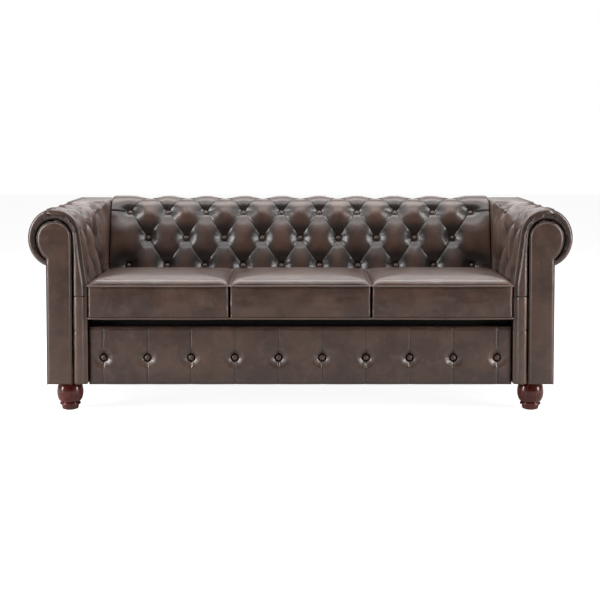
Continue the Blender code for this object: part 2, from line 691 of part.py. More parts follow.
def arm_pad(name, side, unit):
    """The buttoned pad of one arm: inside face and roll, squared up behind to meet the end of the back."""
    end_level = ARM_OUTER + JOINT_GAP
    profile = RollProfile(
        ARM_INNER, ARM_SEAM_HEIGHT, SEAT_HEIGHT, (ROLL_X, ROLL_Z), ARM_ROLL_RADIUS, end_level, ARM_ROLL_OVAL
    )
    front = FRONT + ARM_PAD_SETBACK
    first_column = FRONT + ARM_FIRST_TUFT
    first_row = (TUFT_FIRST_ROW_HEIGHT - ARM_SEAM_HEIGHT) / ARM_ROLL_OVAL
    row_pitch = TUFT_ROW / ARM_ROLL_OVAL
    rounding = [front + ARM_FRONT_ROUNDING * share for share in ARM_FRONT_SHARES]
    parts = ARM_PITCH_PARTS
    lattice = lattice_stations(
        front + ARM_FRONT_ROUNDING, first_column, ARM_TUFT_PITCH, ARM_TUFTS - 1, parts, BACK_FACE
    )
    across = rounding + lattice + [ARM_REAR]
    along = row_stations(profile, first_row, row_pitch, parts)
    facet = largest_facet(profile, along)
    square_rise = ARM_HEIGHT - ARM_CORNER_ROUNDING - ARM_SEAM_HEIGHT
    square_bend = ARM_CORNER_ROUNDING * math.pi / 2
    square_run = ROLL_X - ARM_INNER - ARM_CORNER_ROUNDING

    def column(y):
        return (y - first_column) / ARM_TUFT_PITCH

    def row(distance):
        return (distance - first_row) / row_pitch

    def square_place(distance):
        travel = distance / profile.top_at * (square_rise + square_bend + square_run)
        if travel <= square_rise:
            return (ARM_INNER, ARM_SEAM_HEIGHT + travel)
        if travel <= square_rise + square_bend:
            turn = math.pi - (travel - square_rise) / ARM_CORNER_ROUNDING
            return (
                ARM_INNER + ARM_CORNER_ROUNDING * (1 + math.cos(turn)),
                ARM_HEIGHT - ARM_CORNER_ROUNDING * (1 - math.sin(turn)),
            )
        return (ARM_INNER + ARM_CORNER_ROUNDING + travel - square_rise - square_bend, ARM_HEIGHT)

    def outer(y, distance):
        x, z = profile.place(distance)
        normal = profile.normal(distance)
        blend = smoothstep((y - BACK_FACE + ARM_BLEND_LENGTH) / ARM_BLEND_LENGTH)
        if distance < profile.top_at:
            square = square_place(distance)
            x += (square[0] - x) * blend
            z += (square[1] - z) * blend
        from_front = y - front
        fade = smoothstep((from_front - ARM_RIM_WIDTH) / PAD_EDGE_FADE)
        fade *= smoothstep((BACK_FACE - y) / PAD_EDGE_FADE)
        fade *= smoothstep((profile.length - distance) / PAD_EDGE_FADE)
        drop = tuft_drop(column(y), row(distance), ARM_TUFTS) * fade
        drop += edge_drop(from_front, ARM_FRONT_ROUNDING)
        x -= normal[0] * drop
        if distance > profile.top_at:
            x = max(x, end_level)
        return Vector((side * (x - ROLL_X), y, z - normal[1] * drop))

    def inner(y, distance):
        x, z = profile.core_place(distance, CORE_RADIUS, end_level, facet)
        return Vector((side * (x - ROLL_X), y, z))

    nodes = lattice_nodes(across, along, column, row, ARM_TUFTS)
    folds = lattice_folds(across, along, column, row, ARM_TUFTS)
    slab(f"arm_pad_{name}", across, along, outer, inner, nodes, folds, "leather", unit)


def bolt(name, side, y, unit):
    """A bolt from inside the seat unit into the arm's base rail, and the cutter for its hole."""
    head_seat = SEAT_HALF - RAIL_THICKNESS - JOINT_GAP
    tip = CORE_INNER + BOLT_GRIP
    length = tip - head_seat
    shape = [
        (0.0, BOLT_HEAD_HEIGHT),
        (BOLT_HEAD_RADIUS, BOLT_HEAD_HEIGHT),
        (BOLT_HEAD_RADIUS, 0.0),
        (BOLT_RADIUS, 0.0),
        (BOLT_RADIUS, -length),
        (0.0, -length),
    ]
    place = (side * (head_seat - ROLL_X), y, BOLT_HEIGHT)
    piece = turned(name, shape, place, "steel", unit, BOLT_STEPS)
    piece.rotation_euler = (0.0, math.radians(-90 * side), 0.0)
    bm = bmesh.new()
    turn = Matrix.Rotation(math.radians(90), 4, "Y")
    hole = BOLT_RADIUS / math.cos(math.pi / BOLT_STEPS) + JOINT_GAP
    reach = length + RAIL_THICKNESS
    bmesh.ops.create_cone(
        bm, cap_ends=True, segments=BOLT_STEPS, radius1=hole, radius2=hole, depth=reach, matrix=turn
    )
    mesh = bpy.data.meshes.new(f"{name}_hole")
    bm.to_mesh(mesh)
    bm.free()
    cutter = bpy.data.objects.new(f"{name}_hole", mesh)
    cutter.location = (side * (tip + JOINT_GAP - reach / 2), y, BOLT_HEIGHT)
    cutter.hide_render = True
    cutter.display_type = "WIRE"
    CUTTERS.objects.link(cutter)
    return cutter


def foot(name, x, y):
    """A turned bun foot on its glide: a ball, a ring and a narrow base."""
    height = FOOT_HEIGHT - GLIDE_THICKNESS - JOINT_GAP
    shape = [(share * FOOT_RADIUS, rise * height) for share, rise in FOOT_TURNING]
    place = (x, y, GLIDE_THICKNESS + JOINT_GAP)
    turned(f"foot_{name}", shape, place, "foot", FEET, ROUND_STEPS)
    disc = [(0.0, GLIDE_THICKNESS), (GLIDE_RADIUS, GLIDE_THICKNESS), (GLIDE_RADIUS, 0.0), (0.0, 0.0)]
    turned(f"foot_glide_{name}", disc, (x, y, 0.0), "nylon", FEET, GLIDE_STEPS)


def build_seat():
    unit = make_unit("seat_unit")
    low = (-SEAT_HALF, FRONT_RAIL_FRONT, RAIL_BOTTOM)
    box("front_rail", low, (SEAT_HALF, FRONT_RAIL_REAR, RAIL_TOP), "wood", unit)
    low = (-SEAT_HALF, REAR_RAIL_FRONT, RAIL_BOTTOM)
    box("rear_rail", low, (SEAT_HALF, REAR_RAIL_REAR, RAIL_TOP), "wood", unit)
    between = (FRONT_RAIL_REAR + JOINT_GAP, REAR_RAIL_FRONT - JOINT_GAP)
    for name, side in SIDES:
        inner = side * (SEAT_HALF - RAIL_THICKNESS)
        low_x, high_x = sorted((inner, side * SEAT_HALF))
        low = (low_x, between[0], RAIL_BOTTOM)
        box(f"end_rail_{name}", low, (high_x, between[1], RAIL_TOP), "wood", unit)
        middle = side * SEAT_WIDTH / CUSHION_COUNT / 2
        low = (middle - RAIL_THICKNESS / 2, between[0], RAIL_BOTTOM)
        high = (middle + RAIL_THICKNESS / 2, between[1], RAIL_TOP - CROSS_RAIL_DROP)
        box(f"cross_rail_{name}", low, high, "wood", unit)
    for place, name in enumerate(SEAT_NAMES):
        centre = (place - (CUSHION_COUNT - 1) / 2) * SEAT_WIDTH / CUSHION_COUNT
        spring_unit(f"seat_spring_unit_{name}", centre, unit)
    deck_half = SEAT_HALF - JOINT_GAP
    deck_low = (-deck_half, FRONT_RAIL_FRONT, DECK_BOTTOM)
    box("seat_deck", deck_low, (deck_half, BACK_FACE - JOINT_GAP, DECK_TOP), "felt", unit)
    cover_high = RAIL_BOTTOM - JOINT_GAP
    cover_low = cover_high - DUST_COVER_THICKNESS
    cover = ((-deck_half, FRONT_RAIL_FRONT, cover_low), (deck_half, REAR_RAIL_REAR, cover_high))
    box("dust_cover", *cover, "cloth", unit)
    front_border(unit)


def spring_unit(name, centre, unit):
    """The sinuous springs of one seat, laced together by two tie wires."""
    spacing = SEAT_WIDTH / CUSHION_COUNT / SPRINGS_PER_SEAT
    start = FRONT_RAIL_FRONT + SPRING_END_INSET
    end = REAR_RAIL_FRONT + SPRING_END_INSET
    step = (end - start) / SPRING_BENDS
    wires = []
    for number in range(SPRINGS_PER_SEAT):
        x = centre + (number - (SPRINGS_PER_SEAT - 1) / 2) * spacing
        points = []
        for bend in range(SPRING_BENDS):
            side = SPRING_WIDTH / 2 * (1 if bend % 2 else -1)
            points.append((x + side, start + step * bend, SPRING_Z))
            points.append((x + side, start + step * (bend + 1), SPRING_Z))
        wires.append(wire_mesh(f"{name}_wire_{number}", points, SPRING_WIRE_RADIUS))
    tie_half = spacing * (SPRINGS_PER_SEAT - 1) / 2 + SPRING_WIDTH
    for share in TIE_SHARES:
        y = start + step * (round(share * SPRING_BENDS) + 0.5)
        ends = [(centre - tie_half, y, SPRING_Z), (centre + tie_half, y, SPRING_Z)]
        wires.append(wire_mesh(f"{name}_tie_{share}", ends, TIE_WIRE_RADIUS))
    spring = add_object(name, wires[0], "steel", unit)
    for mesh in wires[SPRINGS_PER_SEAT:] + wires[1:SPRINGS_PER_SEAT]:
        other = bpy.data.objects.new(mesh.name, mesh)
        other.hide_render = True
        other.display_type = "WIRE"
        CUTTERS.objects.link(other)
        joined = spring.modifiers.new("laced", "BOOLEAN")
        joined.operation = "UNION"
        joined.object = other


def wire_mesh(name, points, radius):
    curve = bpy.data.curves.new(name, "CURVE")
    curve.dimensions = "3D"
    curve.bevel_depth = radius
    curve.bevel_resolution = 0
    curve.use_fill_caps = True
    spline = curve.splines.new("POLY")
    spline.points.add(len(points) - 1)
    for point, place in zip(spline.points, points):
        point.co = (*place, 1.0)
    holder = bpy.data.objects.new(name, curve)
    mesh = bpy.data.meshes.new_from_object(holder)
    bpy.data.objects.remove(holder)
    bm = bmesh.new()
    bm.from_mesh(mesh)
    bmesh.ops.remove_doubles(bm, verts=bm.verts, dist=radius * 0.05)
    bmesh.ops.recalc_face_normals(bm, faces=bm.faces)
    bm.to_mesh(mesh)
    bm.free()
    mesh.name = name
    return mesh


def front_border(unit):
    """The padded border below the cushions, with an upright pleat and a button at each pitch."""
    half = SEAT_HALF - JOINT_GAP
    low = UNDERSIDE + JOINT_GAP
    rear = FRONT_RAIL_FRONT - JOINT_GAP
    front = rear - BORDER_THICKNESS
    first = -BORDER_BUTTON_PITCH * (BORDER_BUTTONS - 1) / 2
    across = lattice_stations(-half, first, BORDER_BUTTON_PITCH, BORDER_BUTTONS - 1, 4, half)
    ends = half - BORDER_ROUNDING / 2
    across = [across[0], -ends] + across[1:-1] + [ends, across[-1]]
    below = (low + BORDER_ROUNDING, BORDER_BUTTON_HEIGHT)
    above = (BORDER_BUTTON_HEIGHT, BORDER_TOP - BORDER_ROUNDING)
    along = [low, low + BORDER_ROUNDING * BORDER_ROUND_SHARE, below[0], sum(below) / 2, BORDER_BUTTON_HEIGHT]
    along += [sum(above) / 2, above[1], BORDER_TOP - BORDER_ROUNDING * BORDER_ROUND_SHARE, BORDER_TOP]

    def drop(x, z):
        place = min(max((x - first) / BORDER_BUTTON_PITCH, -0.5), BORDER_BUTTONS - 0.5)
        puff = math.sqrt(abs(math.sin(math.pi * place)))
        near = math.exp(-(((z - BORDER_BUTTON_HEIGHT) / BORDER_PIT_REACH) ** 2))
        pit = math.cos(math.pi * place) ** 6 * near
        rim = edge_drop(min(z - low, BORDER_TOP - z), BORDER_ROUNDING)
        rim += edge_drop(half - abs(x), BORDER_ROUNDING)
        return min(BORDER_PLEAT * (1 - puff) + BORDER_PIT * pit + rim, BORDER_THICKNESS - BORDER_EDGE)

    def outer(x, z):
        return Vector((x, front + drop(x, z), z))

    def inner(x, z):
        return Vector((x, rear, z))

    piece = slab("front_border", across, along, outer, inner, [], [], "leather", unit)
    seat_of_button = open_seats(piece.data, first, front)
    for number in range(BORDER_BUTTONS):
        x = first + BORDER_BUTTON_PITCH * number
        dome = [(BUTTON_RADIUS * out, BUTTON_RISE * rise + BUTTON_EDGE) for out, rise in BUTTON_DOME]
        dome += [(BUTTON_RADIUS, 0.0), (0.0, 0.0)]
        place = (x, seat_of_button - JOINT_GAP, BORDER_BUTTON_HEIGHT)
        button = turned(f"front_button_{number + 1:02d}", dome, place, "leather", unit, BUTTON_STEPS)
        button.rotation_euler = (math.radians(90), 0.0, 0.0)


def open_seats(mesh, first, front):
    """Opens a level seat for each button of the border and returns its depth."""
    bm = bmesh.new()
    bm.from_mesh(mesh)
    spots = [first + BORDER_BUTTON_PITCH * number for number in range(BORDER_BUTTONS)]
    nodes = [
        vert
        for vert in bm.verts
        if abs(vert.co.z - BORDER_BUTTON_HEIGHT) < JOINT_GAP
        and vert.co.y < front + BORDER_THICKNESS - BORDER_EDGE / 2
        and min(abs(vert.co.x - spot) for spot in spots) < JOINT_GAP
    ]
    depth = max(vert.co.y for vert in nodes)
    opened = bmesh.ops.bevel(
        bm, geom=nodes, offset=BUTTON_RADIUS * BUTTON_SEAT, offset_type="OFFSET", segments=1,
        profile=0.5, affect="VERTICES", material=-1,
    )
    for face in opened["faces"]:
        for vert in face.verts:
            vert.co.y = depth
    bm.to_mesh(mesh)
    bm.free()
    return depth


def build_cushions():
    for place, name in enumerate(SEAT_NAMES):
        centre = (place - (CUSHION_COUNT - 1) / 2) * (CUSHION_WIDTH + CUSHION_GAP)
        cushion(f"seat_cushion_{name}", centre)


def turn_over(distance, reach):
    """Share of the full height at a distance in from an edge that turns over in a quarter round."""
    return math.sqrt(1 - (1 - min(max(distance, 0.0) / reach, 1.0)) ** 2)


def cushion_crown(x, y, half_width, half_depth):
    """Rise of a cushion's top, at shares of its half width and half depth: fullest near the front."""
    rise = CUSHION_CROWN_FRONT + (CUSHION_CROWN_REAR - CUSHION_CROWN_FRONT) * smoothstep((y + 1) / 2)
    rise *= turn_over((1 - abs(x)) * half_width, CUSHION_SIDE_TURN)
    rise *= turn_over((1 + y) * half_depth, CUSHION_FRONT_TURN)
    return rise * turn_over((1 - y) * half_depth, CUSHION_REAR_TURN)


def cushion(name, centre):
    """A box cushion: crowned top, plump border, edges drawn in and corners rounded by the piping."""
    half_width = CUSHION_WIDTH / 2
    half_depth = (CUSHION_REAR - CUSHION_FRONT) / 2
    half_height = CUSHION_THICKNESS / 2
    bm = bmesh.new()
    bmesh.ops.create_cube(bm, size=2.0)
    bmesh.ops.subdivide_edges(bm, edges=bm.edges, cuts=CUSHION_CUTS, use_grid_fill=True)
    for vert in bm.verts:
        x = math.sin(vert.co.x * math.pi / 2)
        y = math.sin(vert.co.y * math.pi / 2)
        z = vert.co.z
        crown = cushion_crown(x, y, half_width, half_depth) * max(z, 0.0)
        drawn = CUSHION_DRAW_IN * z * z
        corner = CUSHION_CORNER * (x * y) ** 6
        vert.co = (
            x * (half_width - drawn - corner),
            y * (half_depth - drawn - corner),
            z * half_height + crown,
        )
    piece = add_bmesh(name, bm, "leather", None)
    piece.location = (centre, (CUSHION_FRONT + CUSHION_REAR) / 2, CUSHION_BOTTOM + half_height)


clear_scene()
PARTS = make_collection("leather_sofa")
CUTTERS = make_collection("cutters")
MATERIALS = make_materials()
FEET = make_unit("feet")
build_seat()
for arm_name, arm_side in SIDES:
    build_arm(arm_name, arm_side)
build_back()
build_cushions()
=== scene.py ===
import json
import math

import bmesh
import bpy
from mathutils import Matrix, Vector, noise


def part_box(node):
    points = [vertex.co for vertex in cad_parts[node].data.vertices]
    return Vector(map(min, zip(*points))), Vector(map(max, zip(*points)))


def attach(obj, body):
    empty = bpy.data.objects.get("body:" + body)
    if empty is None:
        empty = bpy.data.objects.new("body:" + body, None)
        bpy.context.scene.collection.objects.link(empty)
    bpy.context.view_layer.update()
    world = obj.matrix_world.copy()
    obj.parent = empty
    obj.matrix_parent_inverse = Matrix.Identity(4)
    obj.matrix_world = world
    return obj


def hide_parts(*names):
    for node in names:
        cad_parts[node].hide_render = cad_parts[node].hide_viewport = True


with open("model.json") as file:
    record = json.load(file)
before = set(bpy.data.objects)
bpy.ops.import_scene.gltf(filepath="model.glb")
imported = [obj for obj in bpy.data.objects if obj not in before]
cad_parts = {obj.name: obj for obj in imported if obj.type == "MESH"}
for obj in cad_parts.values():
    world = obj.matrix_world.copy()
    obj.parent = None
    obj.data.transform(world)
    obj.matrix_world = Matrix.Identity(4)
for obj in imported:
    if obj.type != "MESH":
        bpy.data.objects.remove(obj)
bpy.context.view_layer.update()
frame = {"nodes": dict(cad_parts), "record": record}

scene = bpy.context.scene
scene.view_settings.view_transform = "Standard"

# main lines of the sofa, in metres, as the frame has them
sofa = {
    "front": -0.41, "armTop": 0.767, "under": 0.1053, "deckUnder": 0.3126, "seat": 0.477,
    "armInner": 0.80, "armOuter": 0.948, "armRear": 0.40, "armSeam": 0.438,
    "cushionUnder": 0.355, "backFace": 0.15, "backHalf": 0.7994, "deckHalf": 0.7991, "deckFront": -0.345,
}
sides = {"left": -1, "right": 1}
mergeGap = 1e-5


# camera, floor and light
cameraView = {"place": (-0.0013, -5.233, 1.079), "tilt": 2.947, "lens": 77.78, "shift": -0.18}
studio = {
    "floorSize": 30.0, "floorParts": 8, "floor": "#bcbbb9", "floorRoughness": 0.9,
    "glow": 0.06, "shineGlow": 0.08, "seenGlow": 0.93,
    "ambient": 0.03, "horizon": 1.0, "shineHorizon": 0.25, "behind": (0.1, 0.5),
}
softboxes = {
    "softboxTop": {"place": (0.0, 0.5, 2.6), "aim": (0.0, 0.1, 0.5), "size": (4.0, 1.3), "power": 78},
    "softboxFront": {"place": (0.0, -1.6, 3.6), "aim": (0.0, 0.0, 0.4), "size": (4.0, 1.2), "power": 60},
    "softboxLeft": {"place": (-3.15, -1.4, 1.4), "aim": (-0.2, -0.1, 0.4), "size": (0.6, 2.6), "power": 108},
    "softboxRight": {"place": (3.15, -1.4, 1.4), "aim": (0.2, -0.1, 0.4), "size": (0.6, 2.6), "power": 96},
    "softboxRear": {"place": (0.0, 4.2, 2.6), "aim": (0.0, 0.4, 0.3), "size": (3.6, 2.0), "power": 30},
}


def hexColour(code):
    # sRGB hex to the linear values that a shader takes
    channels = [int(code[i:i + 2], 16) / 255 for i in (1, 3, 5)]
    linear = [c / 12.92 if c <= 0.04045 else ((c + 0.055) / 1.055) ** 2.4 for c in channels]
    return (*linear, 1.0)


def feed(node, links):
    # inputs of a node: plain values, or the sockets or nodes (by their first output) that feed it
    for name, value in links.items():
        if isinstance(value, bpy.types.Node):
            value = value.outputs[0]
        if isinstance(value, bpy.types.NodeSocket):
            node.id_data.links.new(value, node.inputs[name])
        else:
            node.inputs[name].default_value = value


def addNode(tree, kind, links=None, **settings):
    node = tree.nodes.new("ShaderNode" + kind)
    for name, value in settings.items():
        setattr(node, name, value)
    feed(node, links or {})
    return node


def newFinish(name):
    finish = bpy.data.materials.new(name)
    finish.use_nodes = True
    return finish, finish.node_tree, finish.node_tree.nodes["Principled BSDF"]


def shineRays(tree):
    # the kinds of ray, and 1 for those that are mirrored or let through
    rays = addNode(tree, "LightPath").outputs
    shine = addNode(tree, "Math", {0: rays["Is Glossy Ray"], 1: rays["Is Transmission Ray"]},
                    operation="MAXIMUM")
    return rays, shine


def meshFrom(name, bm):
    mesh = bpy.data.meshes.new(name)
    bm.to_mesh(mesh)
    bm.free()
    return mesh


def makeCamera():
    camera = bpy.data.objects.new("photoCamera", bpy.data.cameras.new("photoCamera"))
    camera.location = cameraView["place"]
    camera.rotation_euler = (math.radians(90 - cameraView["tilt"]), 0.0, 0.0)
    camera.data.lens = cameraView["lens"]
    camera.data.shift_y = cameraView["shift"]
    scene.collection.objects.link(camera)
    scene.camera = camera


def makeFloorPaint():
    # matt white studio paint: lit as paint, and shown near white so that only the shadow reads
    paint, tree, shader = newFinish("mattWhiteStudioPaint")
    rays, shine = shineRays(tree)
    glow = addNode(tree, "MapRange", {
        "Value": shine, "To Min": studio["glow"], "To Max": studio["shineGlow"]})
    glow = addNode(tree, "MapRange", {
        "Value": rays["Is Camera Ray"], "To Min": glow, "To Max": studio["seenGlow"]})
    feed(shader, {"Base Color": hexColour(studio["floor"]), "Roughness": studio["floorRoughness"],
                  "Emission Color": hexColour("#ffffff"), "Emission Strength": glow})
    return paint


def makeWorld():
    # the backdrop behind the sofa is white in what shines too; the room on the camera's side is dim
    world = bpy.data.worlds.new("studioWorld")
    scene.world = world
    world.use_nodes = True
    tree = world.node_tree
    rays, shine = shineRays(tree)
    way = addNode(tree, "SeparateXYZ", {0: addNode(tree, "TexCoord").outputs["Generated"]})
    behind = addNode(tree, "MapRange", {
        "Value": way.outputs["Y"], "From Min": studio["behind"][0], "From Max": studio["behind"][1],
        "To Max": studio["shineHorizon"]})
    shine = addNode(tree, "Math", {0: shine, 1: behind}, operation="MULTIPLY")
    seen = addNode(tree, "Math", {0: shine, 1: rays["Is Camera Ray"]}, operation="MAXIMUM")
    strength = addNode(tree, "MapRange", {
        "Value": seen, "To Min": studio["ambient"], "To Max": studio["horizon"]})
    feed(tree.nodes["Background"], {"Color": hexColour("#ffffff"), "Strength": strength})


def makeStage():
    bm = bmesh.new()
    parts = studio["floorParts"]
    bmesh.ops.create_grid(bm, x_segments=parts, y_segments=parts, size=studio["floorSize"] / 2)
    floor = bpy.data.objects.new("studioFloor", meshFrom("studioFloor", bm))
    floor.data.materials.append(makeFloorPaint())
    scene.collection.objects.link(floor)
    for name, lamp in softboxes.items():
        light = bpy.data.lights.new(name, "AREA")
        light.shape = "RECTANGLE"
        light.size, light.size_y = lamp["size"]
        light.energy = lamp["power"]
        box = bpy.data.objects.new(name, light)
        box.location = lamp["place"]
        aim = Vector(lamp["aim"]) - Vector(lamp["place"])
        box.rotation_euler = aim.to_track_quat("-Z", "Y").to_euler()
        scene.collection.objects.link(box)


makeCamera()
makeStage()
makeWorld()
print("camera, floor and softboxes are up")


# finishes; sizes of their patterns are in millimetres
# in hide, pleat is the near black colour of the painted shade, and worn also serves for the painted highlights
hide = {
    "pleat": "#0f0a08", "ground": "#3b2821", "warm": "#50392e", "worn": "#665045",
    "cloudMm": 120, "blotchMm": 42, "grainMm": 2.4, "creaseMm": 13, "reliefMm": 0.5, "reliefShare": 0.16,
    "cloudSpan": (0.40, 0.64, 0.9), "blotchSpan": (0.50, 0.78, 0.45),
    "rubAndHighlightSpan": (0.0, 1.0, 0.45), "paintedShadeSpan": (0.0, -1.0, 0.9),
    "roughness": (0.42, 0.52), "polish": 1.0, "polishRoughness": 0.31, "ownShine": 0.25,
}
lacquer = {
    "colours": ("#64221a", "#360f0a"), "grainMm": 7, "figureMm": 60, "drawn": (1.0, 1.0, 0.12),
    "bump": (0.08, 0.4),
    "plain": {"Roughness": 0.34, "Specular IOR Level": 0.2, "Coat Weight": 0.7, "Coat Roughness": 0.12},
}
pine = {"colours": ("#c9a271", "#a87c4c"), "ringMm": 14, "drawn": (0.15, 0.6, 1.0), "bump": (0.1, 0.4),
        "plain": {"Roughness": 0.68}}
# plain speckled finishes: two colours, size of the specks and of their relief, roughness, metallic
speckled = {
    "steel": ("oiledSpringWire", ("#8a8b8f", "#5d5e63"), 6, 0.02, 0.36, 1.0),
    # the deck felt is near black so that the gap under the cushions reads as painted shade
    "felt": ("needledDeckFeltDarkAsShade", ("#171412", "#100e0d"), 3, 0.8, 0.95, 0.0),
    "cloth": ("spunbondDustCloth", ("#1b1b1d", "#101011"), 2, 0.3, 0.92, 0.0),
    "nylon": ("mouldedNylon", ("#242425", "#1a1a1b"), 4, 0.05, 0.5, 0.0),
    "card": ("woundCardTube", ("#a98f6b", "#8e7553"), 9, 0.2, 0.85, 0.0),
}


def makeHide():
    # waxed pull-up cowhide, drum dyed and hand rubbed: brown clouds, paler on crests, ridges and edges as rub
    # and painted highlight, near black as painted shade in the pleats, pits, crevices and seams, with a soft
    # shine. The grain is drawn about twice its size so that it shows.
    finish, tree, shader = newFinish("waxedCowhide")
    place = addNode(tree, "TexCoord").outputs["Object"]
    wearAndShading = addNode(tree, "Attribute", attribute_name="wearAndShading").outputs["Fac"]
    cloud = addNode(tree, "TexNoise", {
        "Vector": place, "Scale": 1000 / hide["cloudMm"], "Detail": 4.0, "Roughness": 0.6, "Distortion": 0.4})
    blotch = addNode(tree, "TexNoise", {
        "Vector": place, "Scale": 1000 / hide["blotchMm"], "Detail": 5.0, "Roughness": 0.65, "Distortion": 0.9})
    tone = hexColour(hide["ground"])
    # the last two mixes paint light and shade from the attribute: worn for rub and painted highlights, pleat
    # for painted shade
    for value, span, colour in ((cloud, "cloudSpan", "warm"), (blotch, "blotchSpan", "worn"),
                                (wearAndShading, "rubAndHighlightSpan", "worn"), (wearAndShading, "paintedShadeSpan", "pleat")):
        start, end, most = hide[span]
        share = addNode(tree, "MapRange", {
            "Value": value, "From Min": start, "From Max": end, "To Max": most})
        tone = addNode(tree, "Mix", {0: share, 6: tone, 7: hexColour(hide[colour])},
                       data_type="RGBA").outputs[2]
    shine = addNode(tree, "MapRange", {
        "Value": blotch, "From Min": 0.3, "From Max": 0.7,
        "To Min": hide["roughness"][0], "To Max": hide["roughness"][1]})
    grain = addNode(tree, "TexVoronoi", {"Vector": place, "Scale": 1000 / hide["grainMm"]},
                    feature="SMOOTH_F1")
    # the creases wander, so the place they are drawn at is bent first
    bent = addNode(tree, "TexNoise", {
        "Vector": place, "Scale": 1000 / hide["creaseMm"] / 2, "Detail": 2.0})
    bent = addNode(tree, "VectorMath", {0: bent.outputs["Color"], "Scale": 0.012}, operation="SCALE")
    bent = addNode(tree, "VectorMath", {0: place, 1: bent}, operation="ADD")
    crease = addNode(tree, "TexVoronoi", {"Vector": bent, "Scale": 1000 / hide["creaseMm"]},
                     feature="DISTANCE_TO_EDGE")
    crease = addNode(tree, "MapRange", {"Value": crease.outputs["Distance"], "From Max": 0.10})
    relief = addNode(tree, "Math", {0: grain.outputs["Distance"], 1: -0.6, 2: crease},
                     operation="MULTIPLY_ADD")
    bump = addNode(tree, "Bump", {
        "Height": relief, "Strength": hide["reliefShare"], "Distance": hide["reliefMm"] / 1000})
    feed(shader, {"Base Color": tone, "Roughness": shine, "Specular IOR Level": hide["ownShine"],
                  "Coat Weight": hide["polish"], "Coat Roughness": hide["polishRoughness"], "Normal": bump})
    return finish


def twoTone(shader, share, height, colours, bump, plain):
    # two colours mixed by one pattern, with the relief of another: its strength, and its depth in millimetres
    tree = shader.id_data
    first, second = (hexColour(colour) for colour in colours)
    tone = addNode(tree, "Mix", {0: share, 6: first, 7: second}, data_type="RGBA")
    relief = addNode(tree, "Bump", {"Height": height, "Strength": bump[0], "Distance": bump[1] / 1000})
    feed(shader, {"Base Color": tone.outputs[2], "Normal": relief, **plain})


def makeLacquer():
    # beech stained mahogany red and lacquered: fine streaks up the foot under a clear gloss
    finish, tree, shader = newFinish("mahoganyStainedBeechLacquer")
    place = addNode(tree, "TexCoord").outputs["Object"]
    drawn = addNode(tree, "Mapping", {"Vector": place, "Scale": lacquer["drawn"]})
    streak = addNode(tree, "TexNoise", {
        "Vector": drawn, "Scale": 1000 / lacquer["grainMm"], "Detail": 4.0, "Roughness": 0.6})
    figure = addNode(tree, "TexNoise", {
        "Vector": place, "Scale": 1000 / lacquer["figureMm"], "Detail": 2.0})
    share = addNode(tree, "Math", {0: streak, 1: figure}, operation="ADD")
    share = addNode(tree, "MapRange", {"Value": share, "From Min": 0.75, "From Max": 1.25})
    twoTone(shader, share, streak, lacquer["colours"], lacquer["bump"], lacquer["plain"])
    return finish


def makePine():
    # planed pine, bare: straight yellow grain with darker rings
    finish, tree, shader = newFinish("planedPine")
    place = addNode(tree, "TexCoord").outputs["Object"]
    drawn = addNode(tree, "Mapping", {"Vector": place, "Scale": pine["drawn"]})
    ring = addNode(tree, "TexWave", {
        "Vector": drawn, "Scale": 1000 / pine["ringMm"] / 20, "Distortion": 5.0, "Detail": 3.0,
        "Detail Scale": 1.5}, bands_direction="Z").outputs["Fac"]
    twoTone(shader, ring, ring, pine["colours"], pine["bump"], pine["plain"])
    return finish


def makeSpeckled(name, colours, sizeMm, reliefMm, roughness, metallic):
    # a plain finish with fine speckle, for felt, cloth, card, wire and nylon
    finish, tree, shader = newFinish(name)
    place = addNode(tree, "TexCoord").outputs["Object"]
    speck = addNode(tree, "TexNoise", {
        "Vector": place, "Scale": 1000 / sizeMm, "Detail": 4.0, "Roughness": 0.7})
    share = addNode(tree, "MapRange", {"Value": speck, "From Min": 0.35, "From Max": 0.65})
    twoTone(shader, share, speck, colours, (0.4, reliefMm), {"Roughness": roughness, "Metallic": metallic})
    return finish


finishes = {"leather": makeHide(), "foot": makeLacquer(), "wood": makePine()}
for slotName, recipe in speckled.items():
    finishes[slotName] = makeSpeckled(*recipe)
print("finishes made:", len(finishes))


def smooth(value):
    value = min(max(value, 0.0), 1.0)
    return value * value * (3 - 2 * value)


def bell(distance, reach):
    return math.exp(-(distance / reach) ** 2)


def wellAt(reach):
    # the small flat well that a button sits in
    return math.exp(-(reach / button["wellRadius"]) ** 6)


def streakAt(reach, turn, own, settings):
    # shallow creases that ray out from a button
    count = settings["streakCount"]
    streak = noise.noise(Vector((math.cos(turn) * count, math.sin(turn) * count, own)))
    return streak * bell(reach - settings["streakAt"], settings["streakReach"])


def edgeDrop(distance, radius):
    # fall of a rounded edge at a distance from that edge
    if distance >= radius:
        return 0.0
    return radius - math.sqrt(max(0.0, radius ** 2 - (radius - max(distance, 0.0)) ** 2))


def ripple(x, y, z, sizeMm):
    # smooth noise with lumps about sizeMm across, from -1 to 1
    return noise.noise(Vector((x, y, z)) * (1000 / sizeMm))


def evenSteps(start, end, step):
    count = max(1, round(abs(end - start) / step))
    return [start + (end - start) * i / count for i in range(count + 1)]


def latticeSteps(start, first, spacing, count, parts, end):
    # stations that fall on the buttons, even between them
    inner = [first + spacing * i / parts for i in range(count * parts + 1)]
    before = evenSteps(start, first, spacing / parts)[:-1]
    after = evenSteps(inner[-1], end, spacing / parts)[1:]
    return before + inner + after


